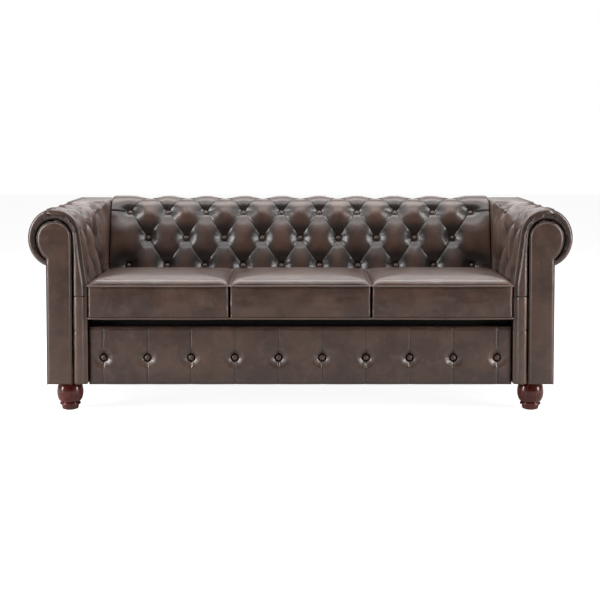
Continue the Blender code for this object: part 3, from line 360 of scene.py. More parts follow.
def leatherSheet(across, along, place):
    # a sheet on two rows of stations; place gives each point, its outward direction, and its wear and painted
    # light and shade
    bm = bmesh.new()
    bmesh.ops.create_grid(bm, x_segments=len(across) - 1, y_segments=len(along) - 1, size=0.5)
    wearAndShading = bm.verts.layers.float.new("wearAndShading")
    outward = {}
    for vert in bm.verts:
        i = round((vert.co.x + 0.5) * (len(across) - 1))
        j = round((vert.co.y + 0.5) * (len(along) - 1))
        vert.co, outward[vert], vert[wearAndShading] = place(across[i], along[j])
    bm.normal_update()
    if sum(face.normal.dot(outward[face.verts[0]]) for face in bm.faces) < 0:
        bmesh.ops.reverse_faces(bm, faces=bm.faces)
    return bm


def spunFrom(line, steps):
    # a turned solid, from its side line of points (radius, height)
    bm = bmesh.new()
    verts = [bm.verts.new((reach, 0.0, height)) for reach, height in line]
    edges = [bm.edges.new(pair) for pair in zip(verts, verts[1:])]
    bmesh.ops.spin(bm, geom=verts + edges, cent=(0, 0, 0), axis=(0, 0, 1), angle=math.tau, steps=steps,
                   use_merge=True)
    bmesh.ops.remove_doubles(bm, verts=bm.verts, dist=mergeGap)
    bmesh.ops.holes_fill(bm, edges=[edge for edge in bm.edges if edge.is_boundary])
    bmesh.ops.recalc_face_normals(bm, faces=bm.faces)
    return bm


def addPiece(name, mesh, nodes=(), shell=0.0, body="sofa", slot="leather", level=0):
    # a dressed piece on its body: the nodes it stands for, the thickness of its shell, how full it is
    if isinstance(mesh, bmesh.types.BMesh):
        mesh = meshFrom(name, mesh)
    mesh.polygons.foreach_set("use_smooth", [True] * len(mesh.polygons))
    mesh.materials.clear()
    mesh.materials.append(finishes[slot])
    piece = bpy.data.objects.new(name, mesh)
    scene.collection.objects.link(piece)
    if shell:
        solid = piece.modifiers.new("leatherAndWadding", "SOLIDIFY")
        solid.thickness = shell
        solid.offset = -1.0
    if level:
        rounded = piece.modifiers.new("softened", "SUBSURF")
        rounded.levels = rounded.render_levels = level
    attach(piece, body)
    if nodes:
        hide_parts(*nodes)
    return piece


def addTube(name, points, radius, closed, wearAndShading, body="sofa"):
    # a round cord along a line of points
    curve = bpy.data.curves.new(name, "CURVE")
    curve.dimensions = "3D"
    curve.bevel_depth = radius
    curve.bevel_resolution = 3
    curve.use_fill_caps = True
    spline = curve.splines.new("POLY")
    spline.points.add(len(points) - 1)
    for point, place in zip(spline.points, points):
        point.co = (*place, 1.0)
    spline.use_cyclic_u = closed
    holder = bpy.data.objects.new(name, curve)
    mesh = bpy.data.meshes.new_from_object(holder)
    bpy.data.objects.remove(holder)
    bpy.data.curves.remove(curve)
    mesh.name = name
    mesh.attributes.new("wearAndShading", "FLOAT", "POINT").data.foreach_set("value", [wearAndShading] * len(mesh.vertices))
    addPiece(name, mesh, body=body)


class RollOutline:
    # side line of a rolled pad: up a plain face, leaning back, then round a roll to its underside;
    # an oval roll is worked out round and then stretched upright
    bendReach = 0.03

    def __init__(self, face, bottom, leanHeight, centre, radius, endLevel, oval=1.0):
        self.face, self.bottom, self.centre, self.radius, self.oval = face, bottom, centre, radius, oval
        run, rise = centre[0] - face, (centre[1] - leanHeight) / oval
        reach = math.hypot(run, rise)
        self.slope = math.atan2(rise, run) + math.asin(radius / reach)
        self.leanAt = (leanHeight - bottom) / oval
        self.rollAt = self.leanAt + math.sqrt(reach ** 2 - radius ** 2)
        self.start = self.slope + math.pi / 2
        self.topAt = self.at(math.pi / 2)
        self.length = self.at(-math.acos((endLevel - centre[0]) / radius))

    def angle(self, distance):
        return self.start - (distance - self.rollAt) / self.radius

    def at(self, angle):
        return self.rollAt + (self.start - angle) * self.radius

    def place(self, distance):
        if distance <= self.leanAt:
            return self.face, self.bottom + distance * self.oval
        if distance <= self.rollAt:
            along = distance - self.leanAt
            height = self.leanAt + along * math.sin(self.slope)
            return self.face + along * math.cos(self.slope), self.bottom + height * self.oval
        turn = self.angle(distance)
        return (self.centre[0] + self.radius * math.cos(turn),
                self.centre[1] + self.radius * math.sin(turn) * self.oval)

    def normal(self, distance):
        # eased at the bend between the plain face and the leaning one
        turn = self.start if distance <= self.rollAt else self.angle(distance)
        ease = smooth((distance - self.leanAt + self.bendReach) / (2 * self.bendReach))
        turn = math.pi + (turn - math.pi) * ease
        level, height = math.cos(turn), math.sin(turn) / self.oval
        size = math.hypot(level, height)
        return level / size, height / size


# deep buttoning, shared by the back and the arms; a tuple has a value for each row
tuft = {
    "row": 0.118, "rows": 3, "firstHeight": 0.498, "parts": 56, "rowParts": 28,
    "puffDepth": 0.0080, "fullness": 0.95, "foldDepth": 0.0020, "foldReach": 0.0015,
    "lap": 0.0020, "lapReach": 0.006,
    "hollowDepth": (0.0085, 0.0090, 0.0140, 0.0140), "hollowReach": 0.090, "hollowSlope": 1.6,
    "pitDepth": (0.0105, 0.0105, 0.0085, 0.0085), "pitReach": (0.034, 0.036, 0.056, 0.056), "pitSlope": 1.6,
    "buttonShadeReach": 0.075, "buttonShadeTilt": 0.6,
    "streakDepth": 0.0012, "streakAt": 0.028, "streakReach": 0.020, "streakCount": 2.8,
    "crestRelief": 0.42, "crestFrom": 1.95, "crestOver": 1.0, "seatShadeRows": 1.3,
    "pleatMargin": 0.01, "pleatNear": 0.004,
}
# paler on the puffs, partly rub and partly painted highlight; painted shade in the folds, wells and streaks,
# round each button and towards the seat
tuftWearAndShade = {"puff": 0.75, "rest": 0.5, "fold": 0.5, "well": 1.2, "streak": 0.25, "buttonShade": 1.05, "seat": 0.35}
button = {"radius": 0.0114, "rise": 0.0078, "edge": 0.0026, "foot": 0.94, "sink": 0.5, "lineSteps": 6,
          "steps": 20, "wearAndShading": 0.1, "edgeShade": -0.8, "wellDepth": 0.0035, "wellRadius": 0.0140}


class Lattice:
    # diamond lattice of the buttons on a pad: every second row is half a column over
    def __init__(self, columns, pitch, firstColumn, row, firstRow):
        self.columns, self.pitch, self.firstColumn = columns, pitch, firstColumn
        self.row, self.firstRow = row, firstRow

    def at(self, across, along):
        return (across - self.firstColumn) / self.pitch, (along - self.firstRow) / self.row

    def columnSteps(self, start, end):
        return latticeSteps(start, self.firstColumn, self.pitch, self.columns - 1, tuft["parts"], end)

    def rowSteps(self, end):
        return latticeSteps(0.0, self.firstRow, self.row, tuft["rows"], tuft["rowParts"], end)

    def pull(self, across, up):
        # pull of the buttons near by, and the nearest one: its distance, direction and number
        spots = set()
        for level in (math.floor(up), math.floor(up) + 1):
            level = min(max(level, 0), tuft["rows"])
            first = math.floor(across - level % 2 / 2)
            last = self.columns - 1 - level % 2
            spots |= {(level, min(max(column, 0), last)) for column in (first, first + 1)}
        total, best = 0.0, None
        for level, column in sorted(spots):
            column += level % 2 / 2
            side, rise = (across - column) * self.pitch, (up - level) * tuft["row"]
            reach = math.hypot(side, rise)
            clear = max(0.0, reach - button["radius"])  # the bottom of a pit is level under its button
            hollow = max(0.0, 1 - clear / tuft["hollowReach"]) ** tuft["hollowSlope"]
            pit = max(0.0, 1 - clear / tuft["pitReach"][level]) ** tuft["pitSlope"]
            total += tuft["hollowDepth"][level] * hollow
            total += tuft["pitDepth"][level] * pit
            if best is None or reach < best[0]:
                best = (reach, math.atan2(rise, side), column + 31.7 * level)
        return total, best

    def shape(self, across, along, seed):
        # fall of the leather below its crests, and its wear and painted shading: puffs, folds along the pleats,
        # pits at the buttons
        across, up = self.at(across, along)
        p = min(max(across, 0.0), self.columns - 1.0)
        q = min(max(up, 0.0), float(tuft["rows"]))
        rising, falling = p + q / 2, p - q / 2
        offRising, offFalling = rising - round(rising), falling - round(falling)
        puff = abs(math.sin(math.pi * rising) * math.sin(math.pi * falling)) ** tuft["fullness"]
        slant = math.hypot(1 / self.pitch, 0.5 / tuft["row"])
        fold = math.exp(-min(abs(offRising), abs(offFalling)) / slant / tuft["foldReach"])
        above = offRising if abs(offRising) < abs(offFalling) else -offFalling
        lap = 0.0
        if abs(above) > 1e-6:
            lap = math.copysign(math.exp(-abs(above) / slant / tuft["lapReach"]), above)
        pull, (reach, turn, own) = self.pull(across, up)
        well = wellAt(reach)
        lap *= 1 - math.exp(-reach / tuft["streakAt"])
        streak = streakAt(reach, turn, own * 3.1 + seed, tuft)
        # over the crest of the roll the pleats are shallower, with no buttons
        relief = 1 - (1 - tuft["crestRelief"]) * smooth((up - tuft["crestFrom"]) / tuft["crestOver"])
        if up > tuft["rows"] - 0.5:
            well = streak = 0.0
        drop = (tuft["puffDepth"] * (1 - puff) + pull) * relief + tuft["foldDepth"] * fold
        drop += button["wellDepth"] * well + tuft["streakDepth"] * streak - tuft["lap"] * lap
        # painted shade round each button, deepest above it, and painted shade over the lower rows towards the
        # seat
        buttonShade = max(0.0, 1 - reach / tuft["buttonShadeReach"]) * relief * (1 + tuft["buttonShadeTilt"] * math.sin(turn))
        wearAndShading = (tuftWearAndShade["puff"] * puff - tuftWearAndShade["rest"]) * relief - tuftWearAndShade["fold"] * fold
        wearAndShading = wearAndShading - tuftWearAndShade["well"] * well - tuftWearAndShade["streak"] * streak - tuftWearAndShade["buttonShade"] * buttonShade
        return drop, wearAndShading - tuftWearAndShade["seat"] * smooth((tuft["seatShadeRows"] - up) / tuft["seatShadeRows"])

    def foldPleats(self, bm, across, along):
        # an edge along every pleat, so that the fold stays sharp: the quads there are split on it
        spots, margin = [], tuft["pleatMargin"]
        for index, vert in enumerate(bm.verts):
            p, q = self.at(across[index % len(across)], along[index // len(across)])
            if -margin < p < self.columns - 1 + margin and -margin < q < tuft["rows"] + margin:
                rising, falling = p + q / 2, p - q / 2
                if min(abs(rising - round(rising)), abs(falling - round(falling))) < tuft["pleatNear"]:
                    spots.append(vert)
        bmesh.ops.connect_verts(bm, verts=spots)

    def dress(self, names, node, across, along, place, shell):
        # the pad's leather and its buttons
        bm = leatherSheet(across, along, place)
        self.foldPleats(bm, across, along)
        addPiece(names[0], bm, [node], shell)
        spots = []
        for level in range(tuft["rows"]):
            for column in range(self.columns - level % 2):
                point, direction = place(self.firstColumn + (column + level % 2 / 2) * self.pitch,
                                         self.firstRow + level * self.row)[:2]
                spots.append((point - direction * button["edge"] * button["sink"], direction))
        addPiece(names[1], buttonDomes(spots))
        print(names[0], "buttoned:", len(spots))


def buttonDomes(places):
    # covered buttons: one dome spun from its side line, then copied to each place
    turns = (math.pi / 2 * i / button["lineSteps"] for i in range(button["lineSteps"] + 1))
    line = [(button["radius"] * math.sin(t), button["rise"] * math.cos(t) + button["edge"]) for t in turns]
    bm = spunFrom(line + [(button["radius"] * button["foot"], 0.0)], button["steps"])
    wearAndShading = bm.verts.layers.float.new("wearAndShading")
    # the dome is a little paler; the ring at its foot is painted shade
    for vert in bm.verts:
        vert[wearAndShading] = button["wearAndShading"] if vert.co.z > button["edge"] else button["edgeShade"]
    first = list(bm.verts)
    pattern = first + list(bm.edges) + list(bm.faces)
    for point, direction in places:
        copy = bmesh.ops.duplicate(bm, geom=pattern)["geom"]
        verts = [item for item in copy if isinstance(item, bmesh.types.BMVert)]
        turn = Vector(direction).to_track_quat("Z", "Y").to_matrix().to_4x4()
        bmesh.ops.transform(bm, matrix=Matrix.Translation(point) @ turn, verts=verts)
    bmesh.ops.delete(bm, geom=first, context="VERTS")
    return bm


# the back: one buttoned pad over the roll
backPad = {
    "columns": 10, "pitch": 0.16, "rollY": 0.305, "rollZ": 0.674, "rollRadius": 0.105, "endLevel": 0.3514,
    "endRound": 0.014, "edgeFade": 0.05, "shell": 0.003, "unevenDepth": 0.0012, "unevenMm": 60,
}


def buildBack():
    outline = RollOutline(sofa["backFace"], sofa["deckUnder"], sofa["seat"],
                          (backPad["rollY"], backPad["rollZ"]), backPad["rollRadius"], backPad["endLevel"])
    columns, pitch, half = backPad["columns"], backPad["pitch"], sofa["backHalf"]
    lattice = Lattice(columns, pitch, -pitch * (columns - 1) / 2, tuft["row"],
                      tuft["firstHeight"] - sofa["deckUnder"])

    def place(x, distance):
        level, height = outline.place(distance)
        nx, nz = outline.normal(distance)
        fade = smooth((outline.length - distance) / backPad["edgeFade"])
        fade *= smooth(distance / backPad["edgeFade"])
        drop, wearAndShading = lattice.shape(x, distance, 0.0)
        drop += backPad["unevenDepth"] * ripple(x, level, height, backPad["unevenMm"])
        drop = max(drop * fade, edgeDrop(half - abs(x), backPad["endRound"]))
        return Vector((x, level - nx * drop, height - nz * drop)), Vector((0.0, nx, nz)), wearAndShading * fade

    lattice.dress(("backLeather", "backButtons"), "back_pad", lattice.columnSteps(-half, half),
                  lattice.rowSteps(outline.length), place, backPad["shell"])


# scroll panels: padded keyhole facings on the fronts of the arms, and plain ones behind
scroll = {
    "inner": 0.8598, "outer": 0.9505, "rollX": 0.922, "rollZ": 0.65724, "radius": 0.0622, "stretch": 1.4,
    "round": 0.010, "crown": 0.0030, "rearCrown": 0.0015, "crownReach": 0.022, "shell": 0.006,
    "creaseDepth": 0.0012, "creaseMm": 9, "neck": (0.955, 0.575), "neckReach": (0.03, 0.045),
    "unevenDepth": 0.0006, "unevenMm": 55, "paintedLightAndShade": 0.35, "edgeHighlightReach": 0.008, "edgeCreviceShade": 1.1, "edgeCreviceShadeReach": 0.0015,
    "welt": 0.0021, "weltAt": 0.75, "weltWear": -0.4, "wearAndShading": -0.1, "step": 0.02, "headSteps": 48,
    "edgeBand": 0.012, "edgeStep": 0.002, "faceStep": 0.006, "domeSteps": 16, "acrossSteps": 26,
}


def headPoint(turn, reach):
    # a point round the head of the keyhole, which is drawn out a little below the middle
    tall = 1.0 if turn > 0 else scroll["stretch"]
    return scroll["rollX"] + reach * math.cos(turn), scroll["rollZ"] + reach * math.sin(turn) * tall


def keyholeSide(z):
    # inner and outer x of the keyhole at a height
    below = z < scroll["rollZ"]
    share = (z - scroll["rollZ"]) / (scroll["radius"] * (scroll["stretch"] if below else 1.0))
    reach = scroll["radius"] * math.sqrt(max(0.0, 1 - share ** 2))
    if below:
        return scroll["inner"], max(scroll["rollX"] + reach if share > -1 else 0.0, scroll["outer"])
    return scroll["rollX"] - reach, scroll["rollX"] + reach


def keyholeLine():
    # outline of the keyhole, from the inner bottom corner round to the outer one
    inner, outer, low, count = scroll["inner"], scroll["outer"], sofa["under"], scroll["headSteps"]
    end = -math.acos((outer - scroll["rollX"]) / scroll["radius"])
    line = [(inner, z) for z in evenSteps(low, scroll["rollZ"], scroll["step"])[:-1]]
    line += [headPoint(math.pi + (end - math.pi) * i / count, scroll["radius"]) for i in range(count + 1)]
    return line + [(outer, z) for z in evenSteps(line[-1][1], low, scroll["step"])[1:]]


def edgeDistance(x, z, line):
    best = 1.0
    for (ax, az), (bx, bz) in zip(line, line[1:] + line[:1]):
        dx, dz = bx - ax, bz - az
        share = min(max(((x - ax) * dx + (z - az) * dz) / (dx * dx + dz * dz + 1e-12), 0.0), 1.0)
        best = min(best, math.hypot(x - ax - dx * share, z - az - dz * share))
    return best


def buildFacing(name, node, side, faceY, towards, crown):
    line, low, edge = keyholeLine(), sofa["under"], sofa["under"] + scroll["edgeBand"]
    along = evenSteps(low, edge, scroll["edgeStep"]) + evenSteps(edge, scroll["rollZ"], scroll["faceStep"])[1:]
    dome, wide = scroll["domeSteps"], scroll["acrossSteps"]
    along += [scroll["rollZ"] + scroll["radius"] * math.sin(math.pi / 2 * i / dome) for i in range(1, dome + 1)]
    across = [-math.cos(math.pi * i / wide) for i in range(wide + 1)]

    def place(u, z):
        inner, outer = keyholeSide(z)
        x = inner + (outer - inner) * (u + 1) / 2
        inside = edgeDistance(x, z, line)
        drop = edgeDrop(inside, scroll["round"]) - crown * (1 - math.exp(-inside / scroll["crownReach"]))
        neck = math.exp(-((x - scroll["neck"][0]) / scroll["neckReach"][0]) ** 2
                        - ((z - scroll["neck"][1]) / scroll["neckReach"][1]) ** 2)
        drop += scroll["creaseDepth"] * neck * ripple(x + z, (x - z) * 0.2, side, scroll["creaseMm"])
        drop += scroll["unevenDepth"] * ripple(x, z, side * 5.0, scroll["unevenMm"])
        # painted highlight along the rounded edge, painted shade in the crevice right at the edge, and the
        # whole face a little darker
        wearAndShading = scroll["paintedLightAndShade"] * math.exp(-inside / scroll["edgeHighlightReach"]) + scroll["wearAndShading"]
        wearAndShading -= scroll["edgeCreviceShade"] * math.exp(-inside / scroll["edgeCreviceShadeReach"])
        return Vector((side * x, faceY + towards * drop, z)), Vector((0.0, -towards, 0.0)), wearAndShading

    bm = leatherSheet(across, along, place)
    bmesh.ops.remove_doubles(bm, verts=bm.verts, dist=mergeGap)
    addPiece(name, bm, [node], scroll["shell"])


def buildScrolls(name, side):
    front, rear = sofa["front"], sofa["armRear"]
    buildFacing(f"scrollFacing.{name}", f"scroll_panel_{name}", side, front, 1.0, scroll["crown"])
    buildFacing(f"rearFacing.{name}", f"arm_rear_panel_{name}", side, rear, -1.0, scroll["rearCrown"])
    points = [(side * x, front + scroll["round"] * scroll["weltAt"], z) for x, z in keyholeLine()]
    addTube(f"scrollWelt.{name}", points, scroll["welt"], False, scroll["weltWear"])


# the arms: a buttoned pad over each roll, gathered round the scroll at the front
armPad = {
    "columns": 3, "firstColumn": 0.130, "lastColumn": 0.110,
    "step": 0.0022, "plainStep": 0.008, "rearStep": 0.005,
    "rollRadius": 0.098, "oval": 1.12, "endGap": 0.0003, "cornerRound": 0.022,
    "setback": 0.003, "frontRound": 0.014, "faceCode": 0.03, "faceRound": 0.020, "crevice": 0.0050,
    "rearGap": 0.0008, "rearRound": 0.006, "rimWidth": 0.040, "fade": 0.05, "blend": 0.30, "shell": 0.005,
    "relief": 1.45, "deepest": 0.034,
    "foldsMm": 34, "foldsDepth": 0.0045, "foldsRun": 0.16, "foldsOver": 0.2, "foldsSharp": 3.2,
    "gatherDepth": 0.0018, "gatherMm": 8, "gatherReach": 0.018, "gatherFrom": 0.10, "gatherRound": 0.004,
    "beadDepth": 0.011, "beadReach": 0.006, "beadTurns": (150, 95),
    "grooveAt": 0.037, "grooveReach": 0.007, "grooveDepth": 0.0040,
    "tucks": {"left": (164, 138, 105, 60, 20, -20), "right": (158, 134, 98, 72, 44, 8, -24, -48)},
    "tuckDepth": 0.0052, "tuckReach": 0.0024, "tuckBend": 0.10, "tuckMm": 40,
}
# on the arms: paler all over, partly rub and partly painted light; painted highlight on fold ridges; painted
# shade in tucks, groove and crevice; darker on the front edge, rear end and rim
armWearAndShade = {"all": 0.4, "folds": 0.9, "tuck": 0.8, "groove": 0.4, "bead": 0.5, "rear": 0.5, "crevice": 0.9,
           "face": 0.45, "faceOver": 0.06}


def beadFall(across, width, share):
    # fall of the rolled front edge of an arm, from the crevice beside the scroll out to the groove
    off = min(max(across / width * 2 - 1, 0.0), 1.0)
    return (edgeDrop(across, min(armPad["faceRound"], width * 0.9))
            + share * armPad["beadDepth"] * (1 - math.sqrt(1 - off * off)))


def buildArm(name, side):
    seam, inner, top, rear = sofa["armSeam"], sofa["armInner"], sofa["armTop"], sofa["armRear"]
    rollX, rollZ, oval = scroll["rollX"], scroll["rollZ"], armPad["oval"]
    endLevel = sofa["armOuter"] + armPad["endGap"]
    outline = RollOutline(inner, seam, sofa["seat"], (rollX, rollZ), armPad["rollRadius"], endLevel, oval)
    front = sofa["front"] + armPad["setback"]
    frontEnd, backFace, faceCode = front + armPad["frontRound"], sofa["backFace"], armPad["faceCode"]
    firstColumn = sofa["front"] + armPad["firstColumn"]
    pitch = (backFace - armPad["lastColumn"] - firstColumn) / (armPad["columns"] - 1)
    lattice = Lattice(armPad["columns"], pitch, firstColumn, tuft["row"] / oval,
                      (tuft["firstHeight"] - seam) / oval)
    # stations before the front stand for the face beside the scroll, and those past the rear for the rear end
    across = evenSteps(front - faceCode, front, armPad["step"])[:-1]
    across += evenSteps(front, frontEnd, armPad["step"])[:-1]
    across += lattice.columnSteps(frontEnd, backFace)
    across += evenSteps(backFace, rear, armPad["plainStep"])[1:]
    across += evenSteps(rear, rear + faceCode, armPad["rearStep"])[1:]
    corner = armPad["cornerRound"]
    rise, bend, run = top - corner - seam, corner * math.pi / 2, rollX - inner - corner
    tucks = [outline.at(math.radians(angle)) for angle in armPad["tucks"][name]]
    beadFrom, beadTo = (outline.at(math.radians(angle)) for angle in armPad["beadTurns"])

    def beadShare(distance):
        # the groove beside the rolled edge runs out towards the top of the arm
        return 1 - smooth((distance - beadFrom) / (beadTo - beadFrom))

    def squarePlace(distance):
        # the squared end beside the back: up the face, round the corner, level to the top of the roll
        travel = distance / outline.topAt * (rise + bend + run)
        if travel <= rise:
            return inner, seam + travel, -1.0, 0.0
        if travel <= rise + bend:
            turn = math.pi - (travel - rise) / corner
            return (inner + corner * (1 + math.cos(turn)), top - corner * (1 - math.sin(turn)),
                    math.cos(turn), math.sin(turn))
        return inner + corner + travel - rise - bend, top, 0.0, 1.0

    def gathers(distance, fromFront):
        # fine gathers and a few tucks that run in to the scroll, with painted shade in each tuck
        end = smooth((outline.length - distance) / armPad["fade"])
        end *= smooth((distance - outline.leanAt) / armPad["gatherFrom"])
        rim = bell(fromFront, armPad["gatherReach"]) * end
        fine = ripple(fromFront * 0.3, distance, side * 9.0, armPad["gatherMm"])
        drop = armPad["gatherDepth"] * rim * (1 + fine)
        wearAndShading = 0.0
        for spot in tucks:
            bent = armPad["tuckBend"] * fromFront * ripple(spot, 0.0, side, armPad["tuckMm"])
            tuck = math.exp(-abs(distance - spot - bent) / armPad["tuckReach"]) * rim
            drop += armPad["tuckDepth"] * tuck
            wearAndShading -= armWearAndShade["tuck"] * tuck
        return drop, wearAndShading

    def padPlace(y, distance):
        x, z = outline.place(distance)
        nx, nz = outline.normal(distance)
        blend = smooth((y - backFace + armPad["blend"]) / armPad["blend"])
        if distance < outline.topAt:
            sx, sz, snx, snz = squarePlace(distance)
            x, z = x + (sx - x) * blend, z + (sz - z) * blend
            nx, nz = nx + (snx - nx) * blend, nz + (snz - nz) * blend
            size = math.hypot(nx, nz)
            nx, nz = nx / size, nz / size
        fromFront = y - front
        fade = smooth((fromFront - armPad["rimWidth"]) / armPad["fade"])
        fade *= smooth((backFace - y) / armPad["fade"])
        end = smooth((outline.length - distance) / armPad["fade"])
        drop, wearAndShading = lattice.shape(y, distance, 40.0 + side)
        # loose ridges that run up and over the arm
        folds = abs(ripple(y, distance * armPad["foldsRun"], side * 3.0, armPad["foldsMm"]))
        folds = max(0.0, 1 - armPad["foldsSharp"] * folds) ** 2
        folds *= armPad["foldsOver"] + (1 - armPad["foldsOver"]) * beadShare(distance)
        drop = max(0.0, drop * armPad["relief"] - armPad["foldsDepth"] * folds) * fade * end
        drop = armPad["deepest"] * math.tanh(drop / armPad["deepest"])
        wearAndShading = (wearAndShading + armWearAndShade["folds"] * folds + armWearAndShade["all"]) * fade * end  # the arms are rubbed most, and are painted paler as painted light; the fold ridges get a painted highlight
        # painted shade down the groove and in the tucks
        groove = bell(fromFront - armPad["grooveAt"], armPad["grooveReach"]) * end
        more, paintedLightAndShade = gathers(distance, fromFront)
        drop += armPad["grooveDepth"] * groove + more * math.exp(-max(fromFront, 0.0) / armPad["gatherRound"])
        wearAndShading += paintedLightAndShade - armWearAndShade["groove"] * groove
        drop += edgeDrop(fromFront, armPad["frontRound"]) + edgeDrop(rear - y, armPad["rearRound"])
        x -= nx * drop
        if distance > outline.topAt:
            x = max(x, endLevel)
        # darker along the rolled front edge
        bead = math.exp(-fromFront / armPad["beadReach"]) * beadShare(distance)
        return (Vector((side * x, y + armPad["beadDepth"] * bead, z - nz * drop)),
                Vector((side * nx, 0.0, nz)), wearAndShading - armWearAndShade["bead"] * bead)

    def rearPlace(share, distance):
        # the rear end, from the edge of the pad in to the panel on it
        outer = padPlace(rear, distance)[0]
        core = (scroll["inner"] - armPad["rearGap"], outer.z)
        if outer.z > rollZ or side * outer.x > rollX:
            turn = math.atan2(outer.z - rollZ, side * outer.x - rollX)
            core = headPoint(turn, scroll["radius"] + armPad["rearGap"])
        x = side * outer.x
        point = Vector((side * (x + (core[0] - x) * share), outer.y - armPad["setback"] * share,
                        outer.z + (core[1] - outer.z) * share))
        # darker in towards the rear panel
        return point, Vector((0.0, 1.0, 0.0)), -armWearAndShade["rear"] * share

    def facePlace(share, distance):
        # the face beside the scroll: from the crevice out to where the pad turns the corner
        outer = padPlace(front, distance)[0]
        if distance <= outline.rollAt:
            x, z = scroll["inner"] - armPad["crevice"], min(outer.z, rollZ)
        else:
            x, z = headPoint(outline.angle(distance), scroll["radius"] + armPad["crevice"])
        core = Vector((side * x, 0.0, z))
        more, paintedLightAndShade = gathers(distance, 0.0)
        width = math.hypot(outer.x - core.x, outer.z - core.z)
        depth = front + more + beadFall(share * width, width, beadShare(distance))
        # painted shade in the crevice beside the scroll, and darker round the roll
        wearAndShading = paintedLightAndShade - armWearAndShade["crevice"] * (1 - share) ** 5
        wearAndShading -= armWearAndShade["face"] * smooth((distance - outline.rollAt) / armWearAndShade["faceOver"])
        point = Vector((core.x + (outer.x - core.x) * share, depth, core.z + (outer.z - core.z) * share))
        return point, Vector((0.0, -1.0, 0.0)), wearAndShading

    def place(y, distance):
        if y > rear:
            return rearPlace((y - rear) / faceCode, distance)
        if y >= front:
            return padPlace(y, distance)
        return facePlace(1 - (front - y) / faceCode, distance)

    lattice.dress((f"armLeather.{name}", f"armButtons.{name}"), f"arm_pad_{name}", across,
                  lattice.rowSteps(outline.length), place, armPad["shell"])


# lower inside of the arms: plain padded panels whose front edges make the strip beside the scroll
strip = {
    "outer": 0.8548, "bead": 0.0408, "deep": 0.05, "behind": 0.036, "rearRound": 0.006, "rearDeep": 0.02,
    "middle": 0.03, "round": 0.003, "seam": 0.308, "seamDepth": 0.0028, "seamReach": 0.0022, "shell": 0.004,
    "uneven": (0.0006, 26), "crumple": (0.0004, 12), "wearAndShading": 0.7, "edgeShade": 40, "grooveShade": 1.6,
    "grooveFrom": 0.014, "grooveOver": 0.012, "grooveTo": 0.10, "grooveFade": 0.04, "rearLip": 0.005,
    "sideStep": 0.008, "beadStep": 0.0012, "plainStep": 0.012, "heightStep": 0.005,
}


def buildLowerArm(name, side):
    inner, outer, front = sofa["armInner"], strip["outer"], sofa["front"] + armPad["setback"]
    low, high = sofa["under"], sofa["armSeam"] - armPad["endGap"]
    rear, rounding = sofa["armRear"] - armPad["setback"], strip["rearRound"]
    panel, bead = scroll["inner"] - armPad["rearGap"], strip["bead"]
    # the section runs from beside the scroll, round the front, back along the inner face and round the rear
    start = front + beadFall(0.0, bead, 1.0)
    section = [(outer, y) for y in evenSteps(front + strip["deep"], start, strip["sideStep"])[:-1]]
    section += [(outer - d, front + beadFall(d, bead, 1.0)) for d in evenSteps(0.0, bead, strip["beadStep"])]
    for behind in evenSteps(0.0, strip["behind"], armPad["step"])[1:]:
        section.append((inner + edgeDrop(behind, armPad["frontRound"]),
                        front + behind + armPad["beadDepth"] * math.exp(-behind / armPad["beadReach"])))
    section += [(inner, y) for y in evenSteps(front + strip["behind"], rear - rounding, strip["plainStep"])[1:]]
    section += [(inner + rounding * (1 - math.cos(t)), rear - rounding * (1 - math.sin(t)))
                for t in evenSteps(0.0, 1.57, 0.4)[1:]]  # a quarter round
    section += [(x, rear) for x in evenSteps(inner + rounding, panel, strip["sideStep"])[1:]]
    section.append((panel, rear - strip["rearDeep"]))
    middle = Vector((inner + strip["middle"], front + strip["middle"]))

    def place(i, z):
        x, y = section[i]
        way = Vector((x, y)) - middle
        if y > front + strip["middle"]:
            way = Vector((-1.0, 0.0)) if x < middle.x else Vector((1.0, 0.0))
        if y > rear - strip["rearLip"]:
            way = Vector((0.0, 1.0))
        way.normalize()
        rounded = edgeDrop(min(z - low, high - z), strip["round"])
        drop = (rounded + strip["uneven"][0] * ripple(x * 2, y, z, strip["uneven"][1])
                + strip["crumple"][0] * ripple(x, y * 2, z * 3, strip["crumple"][1]))
        drop += strip["seamDepth"] * math.exp(-abs(z - strip["seam"]) / strip["seamReach"])
        # painted shade down in the grooves and on the rounded top and bottom edges; the whole strip is painted
        # paler as a painted highlight
        deep = smooth((y - front - strip["grooveFrom"]) / strip["grooveOver"])
        deep *= smooth((front + strip["grooveTo"] - y) / strip["grooveFade"])
        wearAndShading = strip["wearAndShading"] - strip["edgeShade"] * rounded - strip["grooveShade"] * deep
        point = Vector((side * (x - way.x * drop), y - way.y * drop, z))
        return point, Vector((side * way.x, way.y, 0.0)), wearAndShading

    bm = leatherSheet(range(len(section)), evenSteps(low, high, strip["heightStep"]), place)
    addPiece(f"armLowerLeather.{name}", bm, [f"arm_lower_panel_{name}"], strip["shell"])


# outside leather: a panel down each arm and one across the back
outside = {
    "armTop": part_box("outside_arm_panel_left")[1][2], "armFront": 0.0125,
    "backTop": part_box("outside_back_panel")[1][2], "backY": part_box("outside_back_panel")[1][1],
    "puff": 0.0025, "puffReach": 0.05, "edge": 0.010, "edgeShare": 0.35, "shell": 0.003, "step": 0.008,
    "slowArm": (0.0009, 120), "slowBack": (0.0010, 130), "quick": (0.0005, 35),
    "backSeams": (-0.266, 0.266), "seamDepth": 0.0022, "seamReach": 0.0022, "seamDarkening": 0.7,
}


